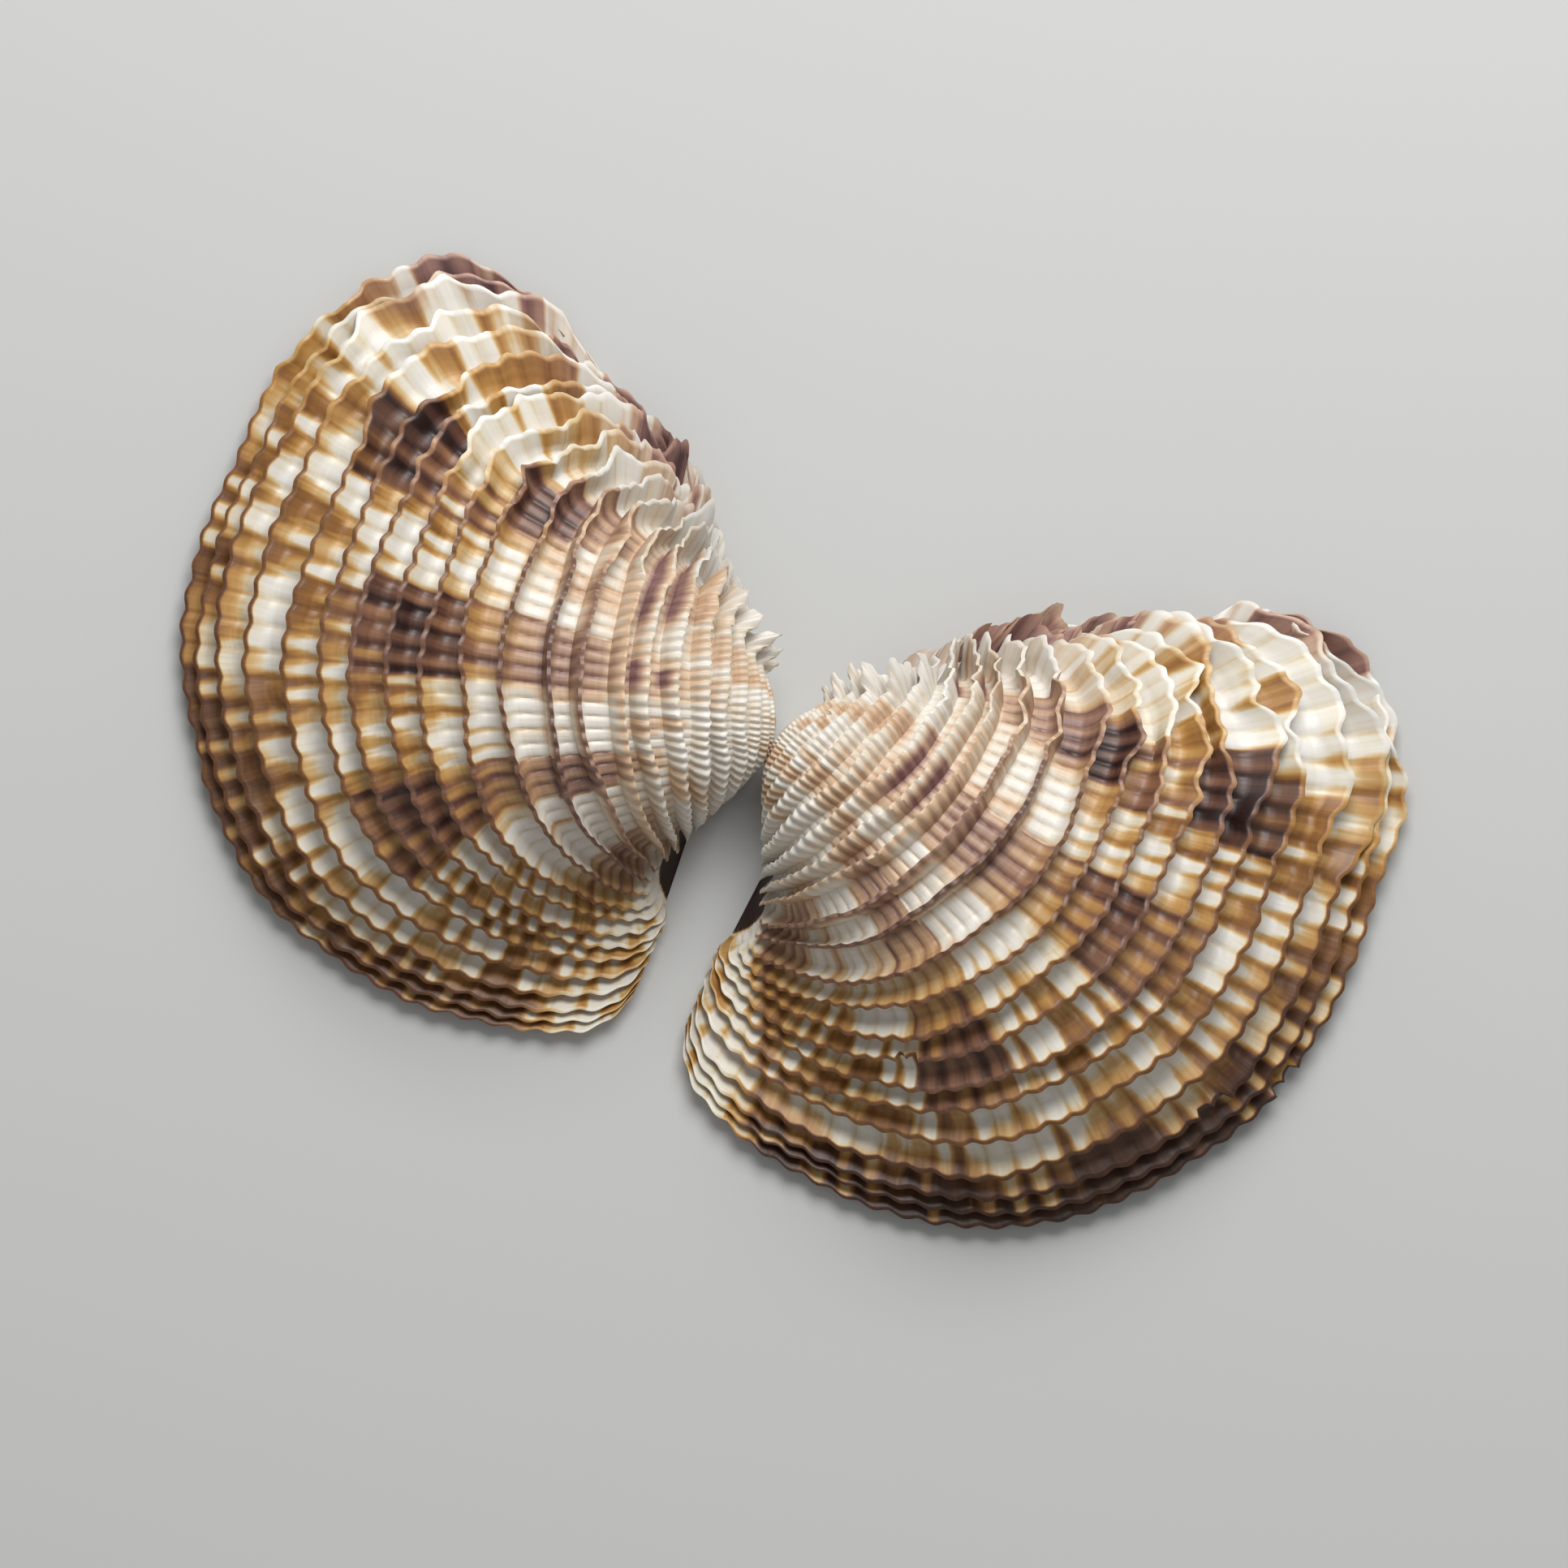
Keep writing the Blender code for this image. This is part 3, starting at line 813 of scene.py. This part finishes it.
# %% [markdown]
# ## Cells of white, gold and brown
#
# Between the rays each growth band is a row of cells, a rib or two wide. A white noise would
# make them all one size. So random numbers, two for each rib of each band, are smoothed along
# and across the bands and then ranked, which keeps as many light cells as dark ones. A finer
# and a coarser field are mixed. The lowest ranks stay white, the middle turns gold and the
# highest brown.

# %% Random fields
FINE_CELLS = (0.75, 0.6)
COARSE_CELLS = (2.4, 1.2)
RUFF_CELLS = (1.5, 0.5)
REACH = 4
CELL_EDGE = 1.6


def tone_field(draw, half_ribs, bands):
    """A random rank from 0 to 1 in every column of every band, alike over a few neighbours."""
    raw = draw.random((BANDS + 2 * REACH + 1, 2 * RIBS + 2 * REACH + 1))
    away = np.arange(-REACH, REACH + 1)
    for axis, width in ((0, bands), (1, half_ribs)):
        weights = np.exp(-((away / width) ** 2))
        raw = np.apply_along_axis(np.convolve, axis, raw, weights / weights.sum(), "valid")
    ranks = raw.argsort(axis=1).argsort(axis=1) / (raw.shape[1] - 1)
    at = np.clip(2.0 * RIB_AT, 0.0, 2.0 * RIBS - 0.001)
    low = at.astype(int)
    ease = smooth(CELL_EDGE * (at - low) - 0.5 * (CELL_EDGE - 1.0))
    return ranks[:, low] * (1.0 - ease) + ranks[:, low + 1] * ease


cells_seen = tone_field(np.random.default_rng(TRIAL_SEED), *FINE_CELLS)
print("random field of", cells_seen.shape[0], "bands, mean", round(float(cells_seen.mean()), 2))

# %% [markdown]
# ## Pigments at every vertex
#
# White sits on the ribs and narrows towards the lamella, gold gathers in the grooves, and brown
# sits inside the gold. Rays lie over the cells, and the whitest cells show through the weaker
# ones. Painted shade darkens the grooves between the ribs, painted shadow the plates' fronts and
# brown with painted shade their hollow backs; inside the rays the rib tops carry a painted
# highlight. The plates' edges are a tan lip, and the lunule is nearly black.
# Three numbers go to each vertex: how dark it is, how rosy, as on the young shell, and how mauve,
# as on the ruff.

# %% Pigments
# Zones: where each begins and over how much it fades in, by stage or by place.
OLD_SHELL = (0.5, 0.2)
RIM_STAGES = (0.86, 0.08)
RIM_PLACES = (0.34, 0.1)
FOOT_ZONE = (0.8, 0.04)
# Zones that end: where, and over how much they fade out.
RUFF_ZONE = (0.37, 0.1)
DORSAL_ZONE = (0.25, 0.03)
ROSY_ZONE = (0.62, 0.14)

# Whites: how much of the cells stays white, all over and more or less in each zone.
WHITES = {"all": 0.5, "ruff": 0.12, "rim": -0.19, "young": 0.14, "foot": 0.26}
CELL_CONTRAST = 1.25
COARSE_SHARE = 0.3
CELL_LAG = 0.02
BLOCK_WOBBLE = 0.25
BLOCK_STEPS = 0.6
TAPER = 0.42
TAPER_MIDDLE = 0.55
GROOVE_TINT = 0.26
RUFF_EVEN = 0.6

# Gold and brown: where each begins and how dark it is.
CHALK = 0.02
TINT_FROM = -0.078
TINT_SPAN = 0.26
TINT_YOUNG = 0.1
TINT_OLD = 0.24
TINT_RIM = 0.04
CORE_FROM = 0.26
CORE_SPAN = 0.18
CORE_AT_RIM = 0.1
CORE_AT_RUFF = 0.12
CORE_TONE = 0.26
CORE_RUFF_LOSS = 0.12
CORE_FOOT_LOSS = 0.1
YOUNG_BLOTCH = 0.22
BLOTCHES = (0.66, 0.25)

# Rays: their mottling, a painted highlight on the rib tops with painted shade in the grooves, and where
# white cells show through them.
RAY_TONE = 0.66
RAY_COARSE = 0.28
RAY_FINE = 0.24
RAY_RIB_HIGHLIGHT = 0.26
SPARED_SHARE = 0.85
SPARED_RAYS = (0.78, 0.25)
SPARED_DORSAL = (0.3, 0.15)

# Painted shade in the grooves and under the plates' fronts, brown with painted shade on the plates'
# backs, and the plates' lips.
GROOVE_SHADE_SHARPNESS = 1.5
GROOVE_SHADE_YOUNG = 0.09
GROOVE_SHADE_OLD = 0.02
GROOVE_SHADE_RAY_LOSS = 0.7
GROOVE_SHADE_RAYS = (0.42, 0.2)
BACK_TINT_AND_SHADE = 0.07
BACK_TINT_AND_SHADE_ZONE = (0.7, 0.25)
BACK_TINT_AND_SHADE_STAGES = (0.45, 0.2)
FRONT_SHADOW = 0.19
FRONT_SHADOW_STAGES = (0.4, 0.2)
CREST_TONE = 0.74
LIP_STAGES = (0.34, 0.16)
LIP_PLACES = (0.3, 0.1)
LIP_FOOT_LOSS = 0.9
LIP_SHARE = 0.8

# The stained rim, the two smooth fields and the mauve parts.
STAIN_STAGES = (0.84, 0.1)
STAIN_PLACES = (0.4, 0.1)
LUNULE_TONE = 1.2
LUNULE_LINE = (0.003, 0.005)
ESCUTCHEON_TONE = 0.5
ESCUTCHEON_LINE = (ESCUTCHEON_END - 0.01, 0.01)
MAUVE_TONE = 0.6
MAUVE_FROM = (0.335, 0.02)
MAUVE_TO = (0.425, 0.02)
MAUVE_FROM_PLACE = (0.22, 0.05)
MAUVE_TO_PLACE = (0.53, 0.04)
MAUVE_BREAKS = (0.1, 0.4)
MAUVE_RUFF = (0.26, 0.08)
MAUVE_RUFF_SHARE = 0.8
MAUVE_TIP = 0.07
MAUVE_TIP_STAGES = (0.88, 0.06)
MAUVE_RAYS = (0.38, 0.25)
MAUVE_RAY_STAGES = (0.84, 0.12)
MAUVE_RAY_SHARE = 0.38


def pigments(stage, draw, rim_stain=0.0):
    """How dark, how rosy and how mauve the outside is at every vertex."""
    band = np.minimum(ROWS["band"][:, 0].astype(int), BANDS)
    wobble = np.vstack([wander(draw, 2.0), np.zeros((1, COLUMNS + 1))])[band]
    rib = np.clip(np.floor(RIB_AT + BLOCK_WOBBLE * wobble), 0, RIBS - 1)
    centre = ESCUTCHEON_END + (rib + 0.5) / RIBS * (LUNULE_START - ESCUTCHEON_END)
    centre = BLOCK_STEPS * centre + (1.0 - BLOCK_STEPS) * PLACES
    at = (np.append(STAGES, 1.0) - CELL_LAG)[band][:, None] * np.ones(COLUMNS + 1)
    old = rise(at, *OLD_SHELL)
    ruff = fall(PLACES, *RUFF_ZONE)
    foot = rise(PLACES, *FOOT_ZONE)
    rim = rise(at, *RIM_STAGES) * rise(PLACES, *RIM_PLACES) * (1.0 - foot)

    # Cells: how far each vertex is from staying white.
    along = ROWS["along"]
    fine = tone_field(draw, *FINE_CELLS)[band]
    coarse = tone_field(draw, *COARSE_CELLS)[band]
    tone = (1.0 - COARSE_SHARE) * fine + COARSE_SHARE * coarse
    tone = 0.5 + CELL_CONTRAST * (tone - 0.5)
    tone = tone + (tone_field(draw, *RUFF_CELLS)[band] - tone) * ruff
    whites = WHITES["all"] + WHITES["ruff"] * ruff + WHITES["rim"] * rim
    whites = whites + WHITES["young"] * (1.0 - old) + WHITES["foot"] * foot
    grooves = GROOVE_TINT * (RIB_WAVE - 0.5) * (1.0 - RUFF_EVEN * ruff)
    depth = tone + TAPER * (along - TAPER_MIDDLE) - grooves - whites

    # Gold where the depth is small, brown cores where it is large.
    tint = rise(depth, TINT_FROM, TINT_SPAN)
    core = rise(depth, CORE_FROM - CORE_AT_RIM * rim - CORE_AT_RUFF * ruff, CORE_SPAN)
    level = CHALK + YOUNG_BLOTCH * rise(coarse, *BLOTCHES) * (1.0 - old)
    level = level + (TINT_YOUNG + TINT_OLD * old + TINT_RIM * rim) * tint
    level = level + (CORE_TONE - CORE_RUFF_LOSS * ruff - CORE_FOOT_LOSS * foot) * core * old

    # Rays, with the whitest cells spared.
    rays = ray_strength(centre, at)
    dorsal = fall(PLACES, *DORSAL_ZONE)
    spared = (1.0 - tint) * fall(rays, *SPARED_RAYS) * old
    spared = spared + (1.0 - rise(tone, *SPARED_DORSAL) - spared) * dorsal
    # Inside the rays, a painted highlight on the rib tops and painted shade in the grooves, on top of the
    # mottling.
    mottle_and_highlight = RAY_TONE + RAY_COARSE * coarse + RAY_FINE * fine - RAY_RIB_HIGHLIGHT * (RIB_WAVE - 0.5)
    rays = rays * mottle_and_highlight * (1.0 - SPARED_SHARE * spared)
    start = np.maximum(level, rays)
    # Painted shade in the grooves between the ribs, fainter where the rays are already dark.
    groove = (1.0 - RIB_BUMP) ** GROOVE_SHADE_SHARPNESS * (GROOVE_SHADE_YOUNG + GROOVE_SHADE_OLD * old)
    shade = start + groove * (1.0 - GROOVE_SHADE_RAY_LOSS * rise(start, *GROOVE_SHADE_RAYS))
    # Darker on the hollow back of each plate: partly brown gathering there, partly painted shade in that
    # hollow.
    shade = shade + BACK_TINT_AND_SHADE * rise(along, *BACK_TINT_AND_SHADE_ZONE) * rise(stage, *BACK_TINT_AND_SHADE_STAGES)
    # Painted shadow on the plates' fronts and feet, under the overhang of their edges.
    front_shadow = FRONT_SHADOW * ROWS["front"] * rise(stage, *FRONT_SHADOW_STAGES)
    shade = shade + front_shadow * (1.0 - RUFF_EVEN * ruff)

    # The lamella's edge is a tan lip, pale where the shell was young and at both ends.
    lip = CREST_TONE * rise(stage, *LIP_STAGES) * rise(PLACES, *LIP_PLACES)
    lip = lip * (1.0 - LIP_FOOT_LOSS * foot)
    shade = np.where(ROWS["edge"] > 0, np.maximum(lip, LIP_SHARE * start), shade)
    stained = rise(stage, *STAIN_STAGES) * rise(PLACES, *STAIN_PLACES)
    shade = shade + rim_stain * stained * (1.0 - foot)
    lunule = rise(PLACES, lunule_edge(stage) - LUNULE_LINE[0], LUNULE_LINE[1])
    shade = np.maximum(shade, LUNULE_TONE * lunule)
    shade = np.maximum(shade, ESCUTCHEON_TONE * fall(PLACES, *ESCUTCHEON_LINE))

    # Mauve: one band of fronts on the young shell, the ruff, and a touch on the strong rays.
    front = ROWS["front"] * (1.0 - ROWS["edge"])
    mauve_band = rise(stage, *MAUVE_FROM) * fall(stage, *MAUVE_TO)
    mauve_band = mauve_band * rise(PLACES, *MAUVE_FROM_PLACE) * fall(PLACES, *MAUVE_TO_PLACE)
    mauve_band = mauve_band * rise(coarse, *MAUVE_BREAKS)
    shade = np.maximum(shade, MAUVE_TONE * front * mauve_band)
    rosy = fall(stage, *ROSY_ZONE) * (1.0 - lunule)
    ruff_end = MAUVE_RUFF[0] + MAUVE_TIP * rise(stage, *MAUVE_TIP_STAGES)
    mauve = np.maximum(front * mauve_band, fall(PLACES, ruff_end, MAUVE_RUFF[1]) * MAUVE_RUFF_SHARE)
    on_rays = MAUVE_RAY_SHARE * rise(rays, *MAUVE_RAYS) * fall(stage, *MAUVE_RAY_STAGES)
    mauve = np.maximum(mauve, on_rays) * (1.0 - lunule)
    return shade, rosy, mauve


trial_shade = pigments(trial_stage, np.random.default_rng(TRIAL_SEED))[0]
print("darkness from", round(float(trial_shade.min()), 2), "to", round(float(trial_shade.max()), 2))

# %% [markdown]
# ## Shader maths as Python
#
# A small class wraps a node's output, so that sums and products of masks are written as
# expressions and each operation adds its own Math node. Everything else goes through one
# method that adds a node, sets it up and links or fills its sockets.

# %% Wires and nodes
class Wire:
    """The output of a shader node, with Python's operators on it."""

    def __init__(self, tree, socket):
        self.tree = tree
        self.socket = socket

    def maths(self, operation, first, second=0.0, clamp=False):
        settings = {"operation": operation, "use_clamp": clamp}
        return add_node(self.tree, "ShaderNodeMath", settings, {0: first, 1: second})

    def __add__(self, other):
        return self.maths("ADD", self, other)

    def __radd__(self, other):
        return self.maths("ADD", other, self)

    def __sub__(self, other):
        return self.maths("SUBTRACT", self, other)

    def __rsub__(self, other):
        return self.maths("SUBTRACT", other, self)

    def __mul__(self, other):
        return self.maths("MULTIPLY", self, other)

    def __rmul__(self, other):
        return self.maths("MULTIPLY", other, self)

    def clamped(self):
        return self.maths("ADD", self, 0.0, clamp=True)


def add_node(tree, kind, settings=None, sockets=None, output=0):
    """Add a node, apply its settings, then fill or link its sockets. Gives one output back."""
    node = tree.nodes.new(kind)
    for name, value in (settings or {}).items():
        if name == "stops":
            ramp = node.color_ramp
            while len(ramp.elements) < len(value):
                ramp.elements.new(0.5)
            for element, (position, colour) in zip(ramp.elements, value):
                element.position = position
                element.color = (*colour, 1.0)
        else:
            setattr(node, name, value)
    for name, value in (sockets or {}).items():
        if isinstance(value, Wire):
            tree.links.new(value.socket, node.inputs[name])
        else:
            node.inputs[name].default_value = value
    return Wire(tree, node.outputs[output])


def from_mesh(tree, name):
    """A number that the mesh keeps at each vertex."""
    return add_node(tree, "ShaderNodeAttribute", {"attribute_name": name}, output="Fac")


def blend(tree, factor, first, second):
    """Mix two colours."""
    colours = {"data_type": "RGBA"}
    return add_node(tree, "ShaderNodeMix", colours, {0: factor, 6: first, 7: second}, output=2)


def noise(tree, vector, scale):
    """Soft noise around 0.5 on a vector."""
    return add_node(tree, "ShaderNodeTexNoise", sockets={"Vector": vector, "Scale": scale, "Detail": 3.0})


def feed(shader, wires, values):
    """Link what varies and set what is the same all over, by the shader's own sockets."""
    for name, wire in wires.items():
        wire.tree.links.new(wire.socket, shader.inputs[name])
    for name, value in values.items():
        shader.inputs[name].default_value = value


def shell_material(name):
    """A material with its node tree and its Principled shader."""
    material = bpy.data.materials.new(name)
    material.use_nodes = True
    return material, material.node_tree, material.node_tree.nodes["Principled BSDF"]


# %% [markdown]
# ## The ribbed outside
#
# Limestone in a thin skin of protein: satin, not glassy. Three ramps turn the darkness at a
# vertex into a colour, each from chalk white to chocolate: one through cream and gold, a rosier
# one for the young shell and a mauve one for the ruff. Noise stretched along the ribs breaks each
# cell's edge, and a finer one across them draws the growth lines.

# %% Outside material
GOLDEN = [
    (0.00, (0.745, 0.725, 0.69)), (0.13, (0.70, 0.64, 0.51)), (0.28, (0.60, 0.42, 0.20)),
    (0.44, (0.47, 0.25, 0.07)), (0.62, (0.28, 0.125, 0.033)), (0.80, (0.115, 0.045, 0.018)),
    (1.00, (0.022, 0.008, 0.005)),
]
ROSY = [
    (0.00, (0.72, 0.69, 0.64)), (0.13, (0.65, 0.58, 0.475)), (0.28, (0.59, 0.41, 0.265)),
    (0.44, (0.40, 0.25, 0.16)), (0.62, (0.23, 0.125, 0.085)), (0.80, (0.10, 0.05, 0.036)),
    (1.00, (0.025, 0.010, 0.008)),
]
MAUVE = [
    (0.00, (0.70, 0.68, 0.645)), (0.13, (0.66, 0.60, 0.53)), (0.28, (0.52, 0.385, 0.30)),
    (0.44, (0.39, 0.235, 0.20)), (0.62, (0.22, 0.12, 0.12)), (0.80, (0.10, 0.05, 0.052)),
    (1.00, (0.022, 0.010, 0.011)),
]
STREAKS = (5.0, 0.8, 0.0)
GROWTH_LINES = (0.35, 9.0, 3.0)
STREAK_TONE = 0.22
LINE_TONE = 0.16
BUMP_DEPTH = 0.00012
SCATTER_SCALE = 0.0006

outside_material, tree, shader = shell_material("ribbed_shell")
shade = from_mesh(tree, "shade")
rib = from_mesh(tree, "rib")
ring = from_mesh(tree, "ring")
patterns = []
for per_rib, per_ring, depth in (STREAKS, GROWTH_LINES):
    at = {0: rib * per_rib, 1: ring * per_ring, 2: depth}
    patterns.append(noise(tree, add_node(tree, "ShaderNodeCombineXYZ", sockets=at), 1.0))
streaks, lines = patterns
darkness = (shade + (streaks - 0.5) * STREAK_TONE + (lines - 0.5) * LINE_TONE).clamped()
golden, rosy, mauve = [
    add_node(tree, "ShaderNodeValToRGB", {"stops": stops}, {"Fac": darkness})
    for stops in (GOLDEN, ROSY, MAUVE)
]
colour = blend(tree, from_mesh(tree, "rosy"), golden, rosy)
colour = blend(tree, from_mesh(tree, "mauve"), colour, mauve)
relief = {"Strength": 0.35, "Distance": BUMP_DEPTH, "Height": streaks * 0.6 + lines * 0.4}
bump = add_node(tree, "ShaderNodeBump", sockets=relief)
feed(
    shader,
    {"Base Color": colour, "Roughness": 0.36 + streaks * 0.16, "Normal": bump},
    {
        "Subsurface Weight": 0.06, "Subsurface Radius": (0.9, 0.55, 0.35),
        "Subsurface Scale": SCATTER_SCALE,
    },
)
print("outside material with", len(tree.nodes), "nodes")

# %% [markdown]
# ## The porcelain inside
#
# The photo never shows the inside, so this is how such clams look: chalk white and glossy,
# with two oval scars where the closing muscles held, a thin line joining them, and a plum
# stain towards the siphon end. The marks are flat, so they are numbers kept on the mesh that
# only steer the colour and the gloss.

# %% Inside material
# Middle and half width in mm, in the valve's own frame.
POSTERIOR_SCAR = ((19.0, 11.5), (3.6, 2.6))
ANTERIOR_SCAR = ((-9.5, 12.5), (2.6, 3.4))
SCAR_EDGE = 0.3
PALLIAL_LINE = 0.83
PALLIAL_HALF_WIDTH = 0.05
PALLIAL_TONE = 0.7
PALLIAL_ZONE = (12.0, 4.0)
STAIN_ACROSS = (9.0, 14.0)
STAIN_DOWN = (20.0, 10.0)
PORCELAIN = (0.80, 0.77, 0.71, 1.0)
PORCELAIN_CLOUD = (0.73, 0.67, 0.58, 1.0)
SCAR_COLOUR = (0.50, 0.44, 0.37, 1.0)
PLUM = (0.22, 0.10, 0.11, 1.0)


def inside_marks(flat, lies):
    """Where the inside has scars and a stain, from 0 to 1."""
    scar = np.zeros(lies.shape)
    for middle, half in (POSTERIOR_SCAR, ANTERIOR_SCAR):
        away = np.linalg.norm((flat - np.array(middle)) / np.array(half), axis=-1)
        scar = np.maximum(scar, smooth((1.0 - away) / SCAR_EDGE))
    line = smooth(1.0 - np.abs(lies - PALLIAL_LINE) / PALLIAL_HALF_WIDTH)
    scar = np.maximum(scar, PALLIAL_TONE * line * rise(flat[..., 1], *PALLIAL_ZONE))
    stain = rise(flat[..., 0], *STAIN_ACROSS) * fall(flat[..., 1], *STAIN_DOWN)
    return scar, stain


inside_material, tree, shader = shell_material("porcelain_inside")
where = add_node(tree, "ShaderNodeTexCoord", output="Object")
cloud = noise(tree, where, 90.0)
scar = from_mesh(tree, "scar")
stain = (from_mesh(tree, "stain") * (cloud * 1.6)).clamped()
colour = blend(tree, cloud.clamped(), PORCELAIN, PORCELAIN_CLOUD)
colour = blend(tree, scar * 0.65, colour, SCAR_COLOUR)
colour = blend(tree, stain * 0.85, colour, PLUM)
feed(
    shader,
    {"Base Color": colour, "Roughness": 0.34 - scar * 0.16},
    {
        "Subsurface Weight": 0.06, "Subsurface Radius": (0.9, 0.7, 0.5),
        "Subsurface Scale": SCATTER_SCALE,
    },
)
print("inside material with", len(tree.nodes), "nodes")

# %% [markdown]
# ## Building both valves
#
# The same steps make both valves. Each has its own seed, so that no two ribs or cells of colour
# match, and its own mirror, heading and size. Faces that lie flat on the floor are the rim's, and
# they take the inside's material.

# %% The two valves
RIGHT_SEED = 11
LEFT_SEED = 23
ON_THE_FLOOR = 1e-7


def build_valve(name, valve, seed):
    """One valve, closed and placed, with the values its materials read."""
    draw = np.random.default_rng(seed)
    points, stage = outside(valve["cut_back"], draw)
    shade, rosy, mauve = pigments(stage, draw, valve["rim_stain"])
    rings, lies = underside(points, valve["cut_back"])
    rings = np.concatenate([rings, rings[:, :1]], axis=1)
    lies = np.concatenate([lies, lies[:, :1]], axis=1)
    outer = laid_grid(name, place(points, valve))
    under = laid_grid(name + "_under", place(rings, valve))
    ones = np.ones(points.shape[:2])
    ring = (ROWS["band"] + ROWS["along"]) * ones
    kept = {"shade": shade, "rosy": rosy, "mauve": mauve, "rib": RIB_AT * ones, "ring": ring}
    scar, stain = inside_marks(rings[..., :2], lies)
    for label, values in kept.items():
        paint(outer, label, values)
        paint(under, label, 0.0 * lies)
    for label, values in {"scar": scar, "stain": stain}.items():
        paint(outer, label, 0.0 * ones)
        paint(under, label, values)
    outer.data.materials.append(outside_material)
    under.data.materials.append(inside_material)
    shell = close_shell(outer, under)
    face_outwards(shell)
    for face in shell.data.polygons:
        if all(shell.data.vertices[v].co.z < ON_THE_FLOOR for v in face.vertices):
            face.material_index = 1
    shell.data.calc_loop_triangles()
    volume = round(signed_volume(shell) / MM ** 3)
    print(name, len(shell.data.loop_triangles), "triangles,", volume, "cubic mm")
    return shell


right_shell = build_valve("right_shell", RIGHT_VALVE, RIGHT_SEED)
left_shell = build_valve("left_shell", LEFT_VALVE, LEFT_SEED)

# %% [markdown]
# ## Taking the solids' place
#
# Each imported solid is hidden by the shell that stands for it. The shell rides on the one body
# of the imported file, so it follows whatever that body does.

# %% Riding on the solids
for shell, node in ((right_shell, "right_valve"), (left_shell, "left_valve")):
    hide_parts(node)
    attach(shell, "root")

# %% [markdown]
# ## Floor, light and camera
#
# A pale, plain floor stands in for the photo's canvas. One soft window light beyond the
# picture's upper edge throws the short shadows, and an even white sky fills them. The camera
# looks straight down through a long lens, scaled and shifted so that the render's pixels fall
# on the photo's.

# %% Floor, light and camera
FLOOR_SIZE = 3.0
FLOOR_DROP = 0.00005
FLOOR_COLOUR = (0.54, 0.545, 0.535, 1.0)
SKY_STRENGTH = 0.34

bpy.ops.mesh.primitive_plane_add(size=FLOOR_SIZE, location=(0.0, 0.0, -FLOOR_DROP))
floor = bpy.context.object
floor.name = "floor"
floor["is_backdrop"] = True
floor_paint = bpy.data.materials.new("pale_floor")
floor_paint.use_nodes = True
floor_shader = floor_paint.node_tree.nodes["Principled BSDF"]
feed(floor_shader, {}, {"Base Color": FLOOR_COLOUR, "Roughness": 0.9})
floor.data.materials.append(floor_paint)

PIXELS_PER_MM = 19.5
FRAME_PIXELS = 1932
ORIGIN_PIXEL = (974.2, 922.6)
LENS = 400.0
SENSOR = 36.0
FOCUS_HEIGHT = 0.004
frame_width = FRAME_PIXELS / PIXELS_PER_MM * MM
look_x = (FRAME_PIXELS / 2 - ORIGIN_PIXEL[0]) / PIXELS_PER_MM * MM
look_y = (ORIGIN_PIXEL[1] - FRAME_PIXELS / 2) / PIXELS_PER_MM * MM
camera_height = frame_width * LENS / SENSOR + FOCUS_HEIGHT
bpy.ops.object.camera_add(location=(look_x, look_y, camera_height), rotation=(0.0, 0.0, 0.0))
camera = bpy.context.object
camera.data.lens = LENS
camera.data.sensor_width = SENSOR
camera.data.clip_start = 0.05
camera.data.clip_end = 10.0
bpy.context.scene.camera = camera

bpy.context.scene.view_settings.view_transform = "Standard"
world = bpy.data.worlds.new("soft_sky")
bpy.context.scene.world = world
world.use_nodes = True
sky = world.node_tree.nodes["Background"]
feed(sky, {}, {"Color": (1.0, 1.0, 1.0, 1.0), "Strength": SKY_STRENGTH})


def softbox(name, place_at, size, power):
    """A square area light that faces the origin."""
    bpy.ops.object.light_add(type="AREA", location=place_at)
    light = bpy.context.object
    light.name = name
    light.data.size = size
    light.data.energy = power
    light.rotation_mode = "QUATERNION"
    light.rotation_quaternion = Vector(place_at).to_track_quat("Z", "Y")
    return light


softbox("window", place_at=(0.05, 0.25, 0.28), size=0.24, power=1.6)

# %% [markdown]
# ## Size for the record
#
# The box of the imported solids was measured before anything was added. The same box around the
# finished shells is printed after it, in mm, so that the two sizes can be set side by side.

# %% Size for the record
shown_low, shown_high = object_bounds()
shown_mm = [[round(v / MM, 2) for v in corner] for corner in (shown_low, shown_high)]
print("visual box in mm:", *shown_mm)
